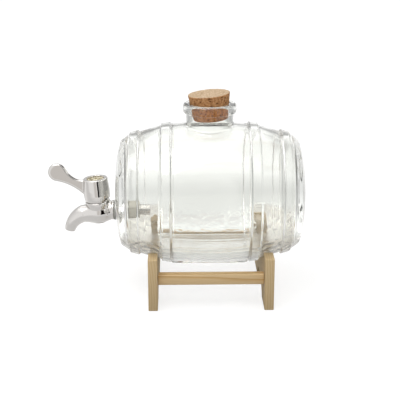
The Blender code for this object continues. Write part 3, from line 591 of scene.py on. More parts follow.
@dataclass(frozen=True)
class PunchedCork:
    """Natural cork, punched and ground to a taper: dry and matt, with dark pores and paler flecks."""

    axis: Vector
    seat: Vector
    side_tones: tuple[str, str, str] = ("8A5A33", "B98557", "CC9F70")
    # The end face's tones are paler partly for its cut grain and partly as a painted highlight where the light
    # from above falls
    end_face_and_highlight_tones: tuple[str, str, str] = ("9F8467", "C5AB8B", "D3BEA4")
    # The part that sits in the neck is painted warmer and a little darker: painted shade for the dim light
    # that reaches it through the glass
    painted_neck_shade_tones: tuple[str, str, str] = ("8A4A1C", "C47A3C", "DA9858")
    neck_shade_edge: float = 0.002
    pore: str = "66401F"
    # Cork cells clump into flecks about 1.6 mm across, and its pores run as slits of 1.4 by 3.2 mm
    fleck_size: float = 0.0016
    pore_size: Triple = (0.0032, 0.0014, 0.0014)
    fine_grain: float = 0.00045
    pore_depth: float = 0.0003
    # Where the fleck noise is dark, middling and pale, and where the pore noise opens
    fleck_stops: Triple = (0.34, 0.5, 0.66)
    pore_stops: Point = (0.62, 0.69)
    # How straight up a face looks from the side's last bit to the end face, which has fewer pores
    top_facing: Point = (0.75, 0.95)
    pores_lost_on_top: float = 0.7
    roughness: float = 0.88
    specular: float = 0.25

    def tones(self, recipe: Recipe, flecks: Socket, shades: Sequence[str]) -> Socket:
        """Return the colours of dark, middling and pale flecks."""
        colour = recipe.add_node("ValToRGB", {"Fac": flecks})
        recipe.set_ramp(colour, list(zip(self.fleck_stops, shades)))
        return colour

    def material(self) -> bpy.types.Material:
        """Return the material, whose end face is paler than the ground side, partly for its cut grain and
        partly as a painted highlight from the light above.
        """
        recipe = Recipe("natural_cork_punched")
        flecks = recipe.speckle(self.fleck_size, detail=4.0, roughness=0.6)
        normal = recipe.add_node("TexCoord", out="Normal")
        facing = recipe.add_node("VectorMath", {
            0: normal, 1: self.axis}, out="Value", operation="DOT_PRODUCT")
        side_facing, top_facing = self.top_facing
        end_face_and_highlight_share = recipe.add_node("MapRange", {
            "Value": facing, "From Min": side_facing, "From Max": top_facing})
        # The cork below its seat, inside the neck, takes the painted shade tones
        over = recipe.add_node("VectorMath", {0: recipe.place(), 1: self.seat}, operation="SUBTRACT")
        inside = recipe.add_node("VectorMath", {0: over, 1: self.axis}, out="Value", operation="DOT_PRODUCT")
        in_neck_shade = recipe.add_node("MapRange", {
            "Value": inside, "From Min": 0.0, "From Max": -self.neck_shade_edge})
        side = recipe.add_node("Mix", {
            "Factor": in_neck_shade,
            6: self.tones(recipe, flecks, self.side_tones),
            7: self.tones(recipe, flecks, self.painted_neck_shade_tones),
        }, out=2, data_type="RGBA")
        # Faces that look up take the paler end-face tones: partly cut grain, partly painted highlight
        body = recipe.add_node("Mix", {
            "Factor": end_face_and_highlight_share, 6: side, 7: self.tones(recipe, flecks, self.end_face_and_highlight_tones),
        }, out=2, data_type="RGBA")
        cells = recipe.place(self.pore_size)
        slits = recipe.add_node("TexNoise", {"Vector": cells, "Scale": 1.0, "Detail": 1.0})
        shut, opened = self.pore_stops
        pits = recipe.add_node("MapRange", {
            "Value": slits, "From Min": shut, "From Max": opened}, interpolation_type="SMOOTHSTEP")
        few = recipe.add_node("Math", {
            0: end_face_and_highlight_share, 1: -self.pores_lost_on_top, 2: 1.0}, operation="MULTIPLY_ADD")
        shown = recipe.add_node("Math", {0: pits, 1: few}, operation="MULTIPLY")
        colour = recipe.add_node("Mix", {
            "Factor": shown, 6: body, 7: linear(self.pore)}, out=2, data_type="RGBA")
        grain = recipe.speckle(self.fine_grain, detail=2.0)
        sunk = recipe.add_node("Math", {0: shown, 1: -1.0, 2: grain}, operation="MULTIPLY_ADD")
        recipe.give_relief(sunk, self.pore_depth)
        recipe.set_shader({
            "Base Color": colour, "Roughness": self.roughness, "Specular IOR Level": self.specular})
        return recipe.material


@dataclass(frozen=True)
class SandedPine:
    """Pine, sawn and sanded, without varnish: pale early wood, warmer late wood lines and fine fibres."""

    grain: Grain
    heart: Point = (0.02, -0.03)
    early: str = "DFC294"
    middle: str = "D5B27E"
    late: str = "C0925A"
    # Growth rings of fast-grown pine lie about 3 mm apart
    ring_spacing: float = 0.0031
    # Fibres are drawn 0.35 mm wide, coarser than the real 0.04 mm, so that they show
    fibre_width: float = 0.00035
    fibre_length: float = 0.014
    fibre_depth: float = 0.00006
    # How much darker and lighter than the wood's own tone the fibres are
    fibre_tones: Point = (0.9, 1.06)
    # The rings sway by this much, over a distance that is a few times longer along the fibres
    sway: float = 0.011
    sway_spacing: float = 0.014
    sway_stretch: float = 6.0
    roughness: float = 0.62
    specular: float = 0.35

    def drawn_out(self, recipe: Recipe, stretch: float) -> Socket:
        """Return the place with the fibres along Z, where a metre counts as less by the stretch."""
        parts = recipe.add_node("SeparateXYZ", {"Vector": recipe.place()}).node.outputs
        side = parts["Y" if self.grain is Grain.ALONG_X else "X"]
        short = recipe.add_node("Math", {0: parts[self.grain.value], 1: stretch}, operation="DIVIDE")
        return recipe.add_node("CombineXYZ", {"X": side, "Y": parts["Z"], "Z": short})

    def year_share(self, recipe: Recipe) -> Socket:
        """Return how far through its year's growth the wood is, from 0 to 1."""
        place = self.drawn_out(recipe, self.sway_stretch)
        inputs = {"Vector": place, "Scale": 1.0 / self.sway_spacing, "Detail": 2.0}
        noise_share = recipe.add_node("TexNoise", inputs)
        swing = recipe.add_node("Math", {0: noise_share, 1: self.sway}, operation="MULTIPLY")
        beside = recipe.add_node("VectorMath", {0: place, 1: (*self.heart, 0.0)}, operation="SUBTRACT")
        flat = recipe.add_node("VectorMath", {
            0: beside, 1: (1.0, 1.0, 0.0)}, operation="MULTIPLY")
        reach = recipe.add_node("VectorMath", {0: flat}, out="Value", operation="LENGTH")
        bent = recipe.add_node("Math", {0: reach, 1: swing})
        rings = recipe.add_node("Math", {0: bent, 1: self.ring_spacing}, operation="DIVIDE")
        return recipe.add_node("Math", {0: rings}, operation="FRACT")

    def material(self) -> bpy.types.Material:
        """Return the material."""
        recipe = Recipe(f"sanded_pine_grain_{self.grain.name.lower()}")
        tones = recipe.add_node("ValToRGB", {"Fac": self.year_share(recipe)})
        recipe.set_ramp(tones, [
            (0.0, self.early), (0.5, self.early), (0.78, self.middle), (0.92, self.late), (1.0, self.early)])
        strand = self.drawn_out(recipe, self.fibre_length / self.fibre_width)
        fibres = recipe.add_node("TexNoise", {
            "Vector": strand, "Scale": 1.0 / self.fibre_width, "Detail": 2.0, "Roughness": 0.6})
        dark, light = self.fibre_tones
        fine = recipe.add_node("MapRange", {
            "Value": fibres, "From Min": 0.3, "From Max": 0.7, "To Min": dark, "To Max": light})
        colour = recipe.add_node("VectorMath", {
            0: tones, "Scale": fine}, operation="SCALE")
        recipe.give_relief(fibres, self.fibre_depth)
        recipe.set_shader({
            "Base Color": colour, "Roughness": self.roughness, "Specular IOR Level": self.specular})
        return recipe.material


@dataclass(frozen=True)
class ChromePlatedAbs:
    """Chrome plating on moulded ABS: a bright mirror with the slow ripple of the plastic under it."""

    plate: str = "D2CFCC"
    roughness: float = 0.045
    # Handling leaves it a little duller and brighter in patches of about a millimetre
    patch_size: float = 0.0012
    patch_shares: Point = (0.7, 1.4)
    # Sink marks of the moulding ripple the mirror every 5 mm or so
    ripple_spacing: float = 0.005
    ripple_depth: float = 0.00003

    def material(self) -> bpy.types.Material:
        """Return the material."""
        recipe = Recipe("chrome_plated_moulded_abs")
        ripple = recipe.speckle(self.ripple_spacing, detail=1.0)
        haze = recipe.speckle(self.patch_size, detail=3.0)
        low, high = [self.roughness * share for share in self.patch_shares]
        dull = recipe.add_node("MapRange", {"Value": haze, "To Min": low, "To Max": high})
        recipe.give_relief(ripple, self.ripple_depth)
        recipe.set_shader({"Base Color": linear(self.plate), "Metallic": 1.0, "Roughness": dull})
        return recipe.material


@dataclass(frozen=True)
class MouldedPlastic:
    """A plain plastic from a spark-eroded mould: even colour, soft sheen and a fine sand texture."""

    name: str
    colour: str
    shade: str
    roughness: float
    # Its colour clouds over 4 mm or so, and its sheen changes with the sand by this much
    cloud_size: float = 0.004
    cloud_stops: Point = (0.3, 0.7)
    sheen_shares: Point = (0.8, 1.2)
    # The mould's texture is drawn 0.25 mm coarse, so that it breaks up the sheen
    texture_size: float = 0.00025
    texture_depth: float = 0.00002

    def material(self) -> bpy.types.Material:
        """Return the material."""
        recipe = Recipe(self.name)
        tones = recipe.add_node("ValToRGB", {"Fac": recipe.speckle(self.cloud_size, detail=3.0)})
        recipe.set_ramp(tones, list(zip(self.cloud_stops, (self.shade, self.colour))))
        sand = recipe.speckle(self.texture_size, detail=1.0)
        low, high = [self.roughness * share for share in self.sheen_shares]
        sheen = recipe.add_node("MapRange", {"Value": sand, "To Min": low, "To Max": high})
        recipe.give_relief(sand, self.texture_depth)
        recipe.set_shader({"Base Color": tones, "Roughness": sheen})
        return recipe.material


@dataclass(frozen=True)
class TranslucentSilicone:
    """Milky silicone rubber, moulded: light glows through it a little."""

    colour: str = "DCDCD6"
    index: float = 1.41
    clearness: float = 0.45
    # Its skin is clouded in spots of just under a millimetre, which are this smooth and this rough
    cloud_size: float = 0.0008
    cloud_depth: float = 0.00001
    roughness: Point = (0.35, 0.55)

    def material(self) -> bpy.types.Material:
        """Return the material."""
        recipe = Recipe("translucent_silicone_moulded")
        cloud = recipe.speckle(self.cloud_size)
        low, high = self.roughness
        dull = recipe.add_node("MapRange", {"Value": cloud, "To Min": low, "To Max": high})
        recipe.give_relief(cloud, self.cloud_depth)
        recipe.set_shader({
            "Base Color": linear(self.colour),
            "Roughness": dull,
            "IOR": self.index,
            "Transmission Weight": self.clearness,
        })
        return recipe.material


@dataclass(frozen=True)
class DrawnSpringSteel:
    """Spring steel wire, rolled flat: grey metal with fine draw lines."""

    colour: str = "A9A9A8"
    roughness: Point = (0.22, 0.42)
    # Draw lines lie 0.12 mm apart and run on for 4 mm or so
    line_size: Triple = (0.004, 0.004, 0.00012)
    line_depth: float = 0.00001

    def material(self) -> bpy.types.Material:
        """Return the material."""
        recipe = Recipe("drawn_spring_steel")
        where = recipe.place(self.line_size)
        lines = recipe.add_node("TexNoise", {"Vector": where, "Scale": 1.0, "Detail": 2.0})
        low, high = self.roughness
        dull = recipe.add_node("MapRange", {"Value": lines, "To Min": low, "To Max": high})
        recipe.give_relief(lines, self.line_depth)
        recipe.set_shader({"Base Color": linear(self.colour), "Metallic": 1.0, "Roughness": dull})
        return recipe.material


# Sub-assemblies


@dataclass
class GlassBarrel:
    """The pressed glass barrel with its hoops, neck, pad, feet and tap hole."""

    axis_height: float = 0.088
    half_length: float = 0.081
    belly_radius: float = 0.0619
    shoulder_radius: float = 0.0584
    taper_end_radius: float = 0.0503
    wall: float = 0.0035
    end_wall: float = 0.005
    hoop_width: float = 0.0095
    hoop_rise: float = 0.0018
    hoop_edge: float = 0.0007
    # The hoops' flanks flow into the wall with a softer slope than the solid's
    hoop_flank: float = 0.001
    hoop_rounding: float = 0.0012
    inner_hoop_x: float = 0.0378
    outer_hoop_inset: float = 0.0157
    chime_width: float = 0.0025
    chime_radius: float = 0.0475
    chime_roundings: Point = (0.0012, 0.0022)
    # Roundings of the cavity at its shoulder, at the end of its taper and in its corner
    inner_roundings: Triple = (0.03, 0.004, 0.004)
    end_corner_radius: float = 0.0458
    end_flat_radius: float = 0.0262
    end_bulge: float = 0.004
    # How fast an end's dome flattens, and the rings of its flat middle as shares of its radius
    dome_power: float = 1.5
    flat_shares: Triple = (0.66, 0.33, 0.02)
    neck_radius: float = 0.0205
    neck_rise: float = 0.0175
    bore_radius: float = 0.017
    lip_radius: float = 0.0228
    lip_height: float = 0.0078
    # Corners of the lip's bead, as heights over its foot, and their roundings
    lip_foot_rises: Triple = (-0.003, -0.0004, 0.0002)
    lip_roundings: Triple = (0.0012, 0.0042, 0.0046)
    mouth_edge: float = 0.0012
    mouth_depth: float = 0.006
    outer_fillet: float = 0.0012
    inner_fillet: float = 0.0036
    outer_fillet_degrees: tuple[int, ...] = (6, 14, 24, 34, 45, 56, 67, 78, 90)
    inner_fillet_degrees: tuple[int, ...] = (8, 20, 34, 50, 70, 90)
    # The neck and its passage start a little outside their fillets and just under the surface
    outer_start: float = 0.0008
    inner_start: float = 0.0006
    start_depth: float = 0.0003
    core_inset: float = 0.001
    pad_width: float = 0.027
    pad_drop: float = 0.0003
    # Powers of the outlines' roundness: the smaller, the squarer
    pad_roundness: float = 0.16
    foot_roundness: float = 0.45
    # Rise and inset of the rings of a pad's or a foot's rounded tip
    tip_rings: tuple[Point, ...] = ((0.0, 0.0013), (0.0001, 0.0007), (0.0004, 0.0002), (0.0009, 0.0))
    foot_x: float = 0.02135
    foot_inset: float = 0.0003
    foot_size: Point = (0.0076, 0.007)
    foot_drop: float = 0.0009
    tap_drop: float = 0.0161
    tap_hole_radius: float = 0.0056
    facets: int = 224
    neck_facets: int = 144
    block_facets: int = 64
    hole_facets: int = 48
    belly_rows: int = 14
    inner_rows: int = 12
    dome_rows: int = 10

    def __post_init__(self) -> None:
        """Work out the places that follow from the sizes."""
        low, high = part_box("glass_barrel")
        self.middle = Vector(((low.x + high.x) / 2.0, 0.0, self.axis_height))
        self.outer_hoop_x = self.half_length - self.outer_hoop_inset
        self.shoulder_x = self.inner_hoop_x + self.hoop_width / 2.0
        self.taper_end_x = self.outer_hoop_x + self.hoop_width / 2.0 + self.hoop_edge
        self.corner_x = self.half_length - self.end_bulge
        self.chime_x = self.corner_x - self.chime_width
        self.lip_top = self.belly_radius + self.neck_rise

    def wall_radius(self, x: float) -> float:
        """Return the outer radius between the hoops at a distance from the middle."""
        distance = abs(x)
        if distance <= self.shoulder_x:
            sag = self.belly_radius - self.shoulder_radius
            return self.belly_radius - sag * (distance / self.shoulder_x) ** 2
        share = (distance - self.shoulder_x) / (self.taper_end_x - self.shoulder_x)
        return mixed(self.shoulder_radius, self.taper_end_radius, share)

    def hoop_corners(self, centre: float) -> list[Point]:
        """Return the four corners of a hoop's section, as (x, radius)."""
        inner, outer = centre - self.hoop_width / 2.0, centre + self.hoop_width / 2.0
        places = ((inner, 0.0), (inner + self.hoop_flank, 1.0), (outer - self.hoop_flank, 1.0), (outer, 0.0))
        return [(x, self.wall_radius(x) + self.hoop_rise * up) for x, up in places]

    def end(self, corner: Point, bulge: float, flat_x: float) -> list[Point]:
        """Return an end from beside its corner over the dome to its middle, as (x, radius).

        Args:
            corner: Where the dome starts, as (x, radius).
            bulge: How far the dome stands out.
            flat_x: Place of the flat middle.

        Returns:
            The points, without the corner itself.
        """
        made = []
        for step in range(1, self.dome_rows + 1):
            share = step / self.dome_rows
            x = corner[0] + bulge * (1.0 - (1.0 - share) ** self.dome_power)
            made.append((x, mixed(corner[1], self.end_flat_radius, share)))
        return made + [(flat_x, self.end_flat_radius * share) for share in self.flat_shares]

    def outer_half(self) -> list[Point]:
        """Return the outside from the middle to one end, as (x, radius)."""
        belly_end = self.inner_hoop_x - self.hoop_width / 2.0
        places = [belly_end * i / self.belly_rows for i in range(self.belly_rows)]
        belly = [(x, self.wall_radius(x)) for x in places]
        corner = (self.corner_x, self.end_corner_radius)
        end = self.end(corner, self.end_bulge, self.half_length)
        corners = [
            belly[-1], *self.hoop_corners(self.inner_hoop_x), *self.hoop_corners(self.outer_hoop_x),
            (self.chime_x, self.chime_radius), corner, end[0],
        ]
        radii = [0.0] + [self.hoop_rounding] * 8 + [*self.chime_roundings, 0.0]
        return belly[:-1] + rounded(corners, radii) + end[1:]

    def inner_half(self) -> list[Point]:
        """Return the inside from the middle to one end, as (x, radius)."""
        corner_x = self.chime_x - self.wall
        corner = (corner_x, self.wall_radius(corner_x) - self.wall - self.chime_width)
        inside = self.half_length - self.end_wall
        end = self.end(corner, inside - corner_x, inside)
        places = [self.shoulder_x * i / self.inner_rows for i in range(self.inner_rows)]
        belly = [(x, self.wall_radius(x) - self.wall) for x in places]
        taper_x = corner_x - self.chime_width
        corners = [
            belly[-1], (self.shoulder_x, self.shoulder_radius - self.wall),
            (taper_x, self.wall_radius(taper_x) - self.wall), corner, end[0],
        ]
        return belly[:-1] + rounded(corners, [0.0, *self.inner_roundings, 0.0]) + end[1:]

    def turning(self, name: str, half: Sequence[Point]) -> Solid:
        """Turn a mirrored half about the barrel's axis."""
        mirrored = [(-x, radius) for x, radius in reversed(half[1:])]
        profile = [(radius, x) for x, radius in mirrored + list(half)]
        return lengthwise(turned(name, profile, self.facets))

    def saddle_ring(self, radius: float, above: float, skin: float) -> Ring:
        """Return a ring round the neck that follows the barrel's surface.

        Args:
            radius: Radius of the ring, seen from above.
            above: Height over the surface.
            skin: Depth of the surface under the glass's outside.

        Returns:
            The points of the ring.
        """
        ring = []
        for index in range(self.neck_facets):
            x, y = on_circle(radius, math.tau * index / self.neck_facets)
            rise = math.sqrt((self.wall_radius(x) - skin) ** 2 - y ** 2)
            ring.append(Vector((x, y, rise + above)))
        return ring

    def fillet_rings(self, foot: float, fillet: float, skin: float, degrees: Sequence[int]) -> list[Ring]:
        """Return the rings of a fillet that rises from a surface of the belly.

        Args:
            foot: Radius of its foot, seen from above.
            fillet: Its own radius.
            skin: Depth of that surface under the glass's outside.
            degrees: Where its rings lie.

        Returns:
            The rings.
        """
        rings = []
        for angle in map(math.radians, degrees):
            above = fillet * (1.0 - math.cos(angle))
            rings.append(self.saddle_ring(foot - fillet * math.sin(angle), above, skin))
        return rings

    def neck(self) -> Solid:
        """Return the solid neck, which flows out of the belly and ends in the lip's bead."""
        foot = self.neck_radius + self.outer_fillet
        rings = [circle(self.neck_radius, self.shoulder_radius / 2.0, self.neck_facets)]
        rings.append(self.saddle_ring(foot + self.outer_start, -self.start_depth, 0.0))
        rings += self.fillet_rings(foot, self.outer_fillet, 0.0, self.outer_fillet_degrees)
        lip_foot = self.lip_top - self.lip_height
        stem, under, side = [lip_foot + rise for rise in self.lip_foot_rises]
        corners = [
            (self.neck_radius, stem), (self.neck_radius, under), (self.lip_radius, side),
            (self.lip_radius, self.lip_top), (self.bore_radius, self.lip_top),
        ]
        for radius, height in rounded(corners, [0.0, *self.lip_roundings, 0.0], steps=12)[1:]:
            rings.append(circle(radius, height, self.neck_facets))
        return skinned("neck", rings)

    def neck_passage(self) -> Solid:
        """Return the hollow of the neck, which flows into the cavity below."""
        foot = self.bore_radius + self.inner_fillet
        rings = [circle(foot - self.core_inset, self.shoulder_radius / 2.0, self.neck_facets)]
        rings.append(self.saddle_ring(foot + self.inner_start, -self.start_depth, self.wall))
        rings += self.fillet_rings(foot, self.inner_fillet, self.wall, self.inner_fillet_degrees)
        top, mouth = self.lip_top, self.bore_radius + self.mouth_edge
        corners = [
            (self.bore_radius, top - self.mouth_depth), (self.bore_radius, top - self.mouth_edge),
            (mouth, top), (mouth, top + OVERRUN),
        ]
        for radius, height in rounded(corners, [0.0, self.mouth_edge, self.mouth_edge, 0.0]):
            rings.append(circle(radius, height, self.neck_facets))
        return skinned("neck_passage", rings)

    def block(self, place: Point, size: Point, tip: float, roundness: float) -> Solid:
        """Return a block with a rounded tip, moulded under the belly.

        Args:
            place: Its middle, as (x, y).
            size: Its length and width.
            tip: Height of its lowest face.
            roundness: Power of its outline's roundness.

        Returns:
            The block, whose root lies inside the glass.
        """
        root = self.wall - self.shoulder_radius
        rings = []
        for rise, inset in self.tip_rings:
            rings.append(self.block_ring(place, size, inset, tip + rise, roundness))
        rings.append(self.block_ring(place, size, 0.0, root, roundness))
        return skinned("block", rings)

    def block_ring(self, place: Point, size: Point, inset: float, height: float, roundness: float) -> Ring:
        """Return one level ring of a block, drawn in by the inset."""
        half_x, half_y = size[0] / 2.0 - inset, size[1] / 2.0 - inset
        ring = []
        for step in range(self.block_facets):
            cosine, sine = on_circle(1.0, math.tau * (step + 0.5) / self.block_facets)
            x = half_x * math.copysign(abs(cosine) ** roundness, cosine)
            y = half_y * math.copysign(abs(sine) ** roundness, sine)
            ring.append(Vector((place[0] + x, place[1] + y, height)))
        return ring

    def add_base(self, glass: Solid) -> None:
        """Join the flat pad and its four feet to the glass."""
        pad_length = 2.0 * (self.inner_hoop_x - self.hoop_width / 2.0 + self.hoop_edge)
        pad_tip = -self.belly_radius - self.pad_drop
        pad = self.block((0.0, 0.0), (pad_length, self.pad_width), pad_tip, self.pad_roundness)
        combined(glass, pad, Cut.JOIN)
        foot_y = (self.pad_width - self.foot_size[1]) / 2.0 - self.foot_inset
        for x in (-self.foot_x, self.foot_x):
            for y in (-foot_y, foot_y):
                foot = self.block((x, y), self.foot_size, pad_tip - self.foot_drop, self.foot_roundness)
                combined(glass, foot, Cut.JOIN)

    def build(self) -> None:
        """Build the glass and fit it."""
        glass = self.turning("barrel_glass_pressed", self.outer_half())
        combined(glass, self.neck(), Cut.JOIN)
        self.add_base(glass)
        hollow = self.turning("hollow", self.inner_half())
        combined(hollow, self.neck_passage(), Cut.JOIN)
        combined(glass, hollow, Cut.TAKE_AWAY)
        hole = bar("hole", self.tap_hole_radius, (-OVERRUN, self.end_wall + OVERRUN), self.hole_facets)
        place = Matrix.Translation((-self.half_length, 0.0, -self.tap_drop))
        combined(glass, moved(lengthwise(hole), place), Cut.TAKE_AWAY)
        moved(glass, Matrix.Translation(self.middle))
        shaded(glass, 60.0)
        finish = PressedSodaLimeGlass(self.middle, self.belly_radius)
        fitted(glass, Body.BARREL, finish.material(), ["glass_barrel"])


@dataclass
class CorkStopper:
    """The tapered cork, pushed in a little askew."""

    height: float = 0.0222
    stands_out: float = 0.0095
    seat_radius: float = 0.0166
    slope: float = 0.157
    tilt: float = math.radians(5.0)
    chamfer: float = 0.0008
    foot_rounding: float = 0.0035
    edge_steps: int = 4
    # Where the flat faces stop and the rounded edges start, as shares of their radii
    low_share: float = 0.7
    high_share: float = 0.9
    facets: int = 144
    flank_rows: int = 26
    face_rows: int = 14
    # Grinding leaves the side and the top uneven by about a tenth of a millimetre
    unevenness: float = 0.00016
    # Noise cells to the metre: broad ones, and finer ones that count half
    broad_noise: float = 420.0
    fine_noise: float = 1100.0

    def profile(self) -> list[Point]:
        """Return the cork's outline from below, as (radius, height over the seat)."""
        foot = self.stands_out - self.height
        low_radius = self.seat_radius + self.slope * foot
        high_radius = self.seat_radius + self.slope * self.stands_out
        corners = [
            (low_radius * self.low_share, foot), (low_radius, foot),
            (high_radius, self.stands_out), (high_radius * self.high_share, self.stands_out),
        ]
        side = rounded(corners, [0.0, self.foot_rounding, self.chamfer, 0.0], steps=self.edge_steps)
        turn = self.edge_steps + 2
        start, end = side[turn - 1], side[turn]
        shares = [i / self.flank_rows for i in range(1, self.flank_rows)]
        flank = [(mixed(start[0], end[0], share), mixed(start[1], end[1], share)) for share in shares]
        rows = range(1, self.face_rows)
        low_face = [(low_radius * self.low_share * i / self.face_rows, foot) for i in rows]
        high_face = [
            (high_radius * self.high_share * i / self.face_rows, self.stands_out) for i in reversed(rows)]
        return low_face + side[:turn] + flank + side[turn:] + high_face

    def grind(self, cork: Solid) -> None:
        """Make the ground faces uneven."""
        for vertex in cork.data.vertices:
            direction = Vector((vertex.co.x, vertex.co.y, 0.0)).normalized()
            if abs(vertex.co.z - self.stands_out) < self.chamfer / 2.0:
                direction = UP
            broad, fine = noise.noise(vertex.co * self.broad_noise), noise.noise(vertex.co * self.fine_noise)
            vertex.co -= direction * self.unevenness * (0.5 + (broad + 0.5 * fine))

    def build(self, seat: Vector) -> None:
        """Build the cork and fit it, with its seat at the top of the neck's bore."""
        cork = turned("cork_ground", self.profile(), self.facets)
        self.grind(cork)
        leaning = Matrix.Rotation(-self.tilt, 4, "Y")
        moved(cork, Matrix.Translation(seat) @ leaning)
        shaded(cork, 50.0)
        finish = PunchedCork(leaning @ UP, seat)
        fitted(cork, Body.CORK, finish.material(), ["cork_stopper"])


@dataclass
class Cradle:
    """The pine cradle: two boards, two rails and the dowels between them."""

    rail_finish: SandedPine = SandedPine(
        Grain.ALONG_X, heart=(-0.03, 0.004), late="C69C65", ring_spacing=0.0055, sway_stretch=9.0)
    board_finish: SandedPine = SandedPine(
        Grain.ALONG_Y, heart=(-0.25, 0.012), early="D0B88F", middle="C8AD80", late="C0A377",
        ring_spacing=0.0021, sway=0.0025)
    depth: float = 0.115
    height: float = 0.046
    arch_width: float = 0.058
    arch_rise: float = 0.014
    hollow_radius: float = 0.0579
    barrel_height: float = 0.088
    edge: float = 0.0006
    dowel_radius: float = 0.0023
    dowel_gap: float = 0.0003
    dowel_facets: int = 24
    arch_rows: int = 40
    hollow_rows: int = 64

    def outline(self) -> list[Point]:
        """Return a board's outline, as (y, z)."""
        half_depth, half_arch = self.depth / 2.0, self.arch_width / 2.0
        arch_radius = (half_arch ** 2 + self.arch_rise ** 2) / (2.0 * self.arch_rise)
        arch_centre = self.arch_rise - arch_radius
        arch_angle = math.asin(half_arch / arch_radius)
        hollow_angle = math.acos((self.barrel_height - self.height) / self.hollow_radius)
        outline = [(-half_depth, 0.0)]
        for row in range(self.arch_rows + 1):
            up, across = on_circle(arch_radius, mixed(-arch_angle, arch_angle, row / self.arch_rows))
            outline.append((across, arch_centre + up))
        outline += [(half_depth, 0.0), (half_depth, self.height)]
        for row in range(self.hollow_rows + 1):
            angle = mixed(hollow_angle, -hollow_angle, row / self.hollow_rows)
            down, across = on_circle(self.hollow_radius, angle)
            outline.append((across, self.barrel_height - down))
        outline.append((-half_depth, self.height))
        return outline

    def drill(self, item: Solid, node: str) -> None:
        """Cut the hole that a dowel sits in, with a little air at both of its ends."""
        low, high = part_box(node)
        ends = (-self.dowel_gap, high.x - low.x + self.dowel_gap)
        hole = lengthwise(bar("dowel_hole", self.dowel_radius, ends, self.dowel_facets))
        combined(item, at_left_end(hole, node), Cut.TAKE_AWAY)

    def build_board(self, side: str) -> None:
        """Build and fit the board on one side."""
        node = f"cradle_board_{side}"
        low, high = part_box(node)
        board = bevelled(crosswise(f"board_{side}_sanded", self.outline(), (low.x, high.x)), self.edge)
        for depth in ("front", "rear"):
            self.drill(board, f"rail_dowel_{depth}_{side}")
        shaded(board, 35.0)
        fitted(board, Body.STAND, self.board_finish.material(), [node])

    def build_rail(self, depth: str) -> None:
        """Build and fit the rail at the front or the rear."""
        node = f"cradle_rail_{depth}"
        low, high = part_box(node)
        outline = [(low.y, low.z), (high.y, low.z), (high.y, high.z), (low.y, high.z)]
        rail = bevelled(crosswise(f"rail_{depth}_sanded", outline, (low.x, high.x)), self.edge)
        for side in ("left", "right"):
            self.drill(rail, f"rail_dowel_{depth}_{side}")
        shaded(rail, 35.0)
        fitted(rail, Body.STAND, self.rail_finish.material(), [node])

    def build(self) -> None:
        """Build and fit the whole cradle."""
        for side in ("left", "right"):
            self.build_board(side)
        for depth in ("front", "rear"):
            self.build_rail(depth)
            for side in ("left", "right"):
                dressed(f"rail_dowel_{depth}_{side}", self.rail_finish.material())


@dataclass
class TapFixing:
    """What holds the tap in the glass: two washers and the lock nut."""

    washer_finish: TranslucentSilicone = TranslucentSilicone()
    nut_finish: MouldedPlastic = MouldedPlastic("grey_nylon_moulded", "DAD5CA", "CCC6B9", 0.38)
    tail_radius: float = 0.005
    tail_gap: float = 0.0003
    washer_outer_edge: float = 0.0006
    washer_inner_edge: float = 0.0003
    nut_across_flats: float = 0.0145
    nut_edge: float = 0.0006
    # The cone that rounds the nut's corners: its widening, its depth and how far outside it starts
    corner_cone: Triple = (0.0016, 0.0008, 0.0005)
    bore_chamfer: float = 0.0009
    bore_overrun: float = 0.001
    facets: int = 96
    bore_facets: int = 64

    def build_washer(self, side: str) -> None:
        """Build and fit the washer outside or inside the glass."""
        node = f"tap_washer_{side}"
        low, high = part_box(node)
        outer, inner = (high.z - low.z) / 2.0, self.tail_radius + self.tail_gap
        thickness, start = high.x - low.x, (mixed(inner, outer, 0.5), 0.0)
        corners = [start, (outer, 0.0), (outer, thickness), (inner, thickness), (inner, 0.0), start]
        radii = [0.0] + [self.washer_outer_edge] * 2 + [self.washer_inner_edge] * 2 + [0.0]
        section = rounded(corners, radii, steps=4)[:-1]
        washer = lengthwise(turned(f"washer_{side}_soft", section, self.facets, endless=True))
        at_left_end(washer, node)
        fitted(shaded(washer), Body.BARREL, self.washer_finish.material(), [node])

    def build_nut(self) -> None:
        """Build and fit the hexagonal lock nut, with its flank chamfers and its bore."""
        low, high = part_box("tap_lock_nut")
        length = high.x - low.x
        flank = self.nut_across_flats / 2.0
        nut = bar("lock_nut_hexagonal", flank / math.cos(math.pi / 6.0), (0.0, length), 6)
        bevelled(nut, self.nut_edge)
        widening, depth, outside = self.corner_cone
        wide = flank + widening
        ends = [(flank, -outside), (wide, depth), (wide, length - depth), (flank, length + outside)]
        combined(nut, turned("rounding", ends, self.facets), Cut.KEEP_COMMON)
        bore = self.tail_radius + self.tail_gap
        mouth = bore + self.bore_chamfer
        hollow = [
            (mouth, -self.bore_overrun), (mouth, 0.0), (bore, self.bore_chamfer),
            (bore, length - self.bore_chamfer), (mouth, length), (mouth, length + self.bore_overrun),
        ]
        combined(nut, turned("bore", hollow, self.bore_facets), Cut.TAKE_AWAY)
        at_left_end(lengthwise(nut), "tap_lock_nut")
        fitted(shaded(nut, 30.0), Body.BARREL, self.nut_finish.material(), ["tap_lock_nut"])

    def build(self) -> None:
        """Build the washers and the nut."""
        self.build_washer("outer")
        self.build_washer("inner")
        self.build_nut()


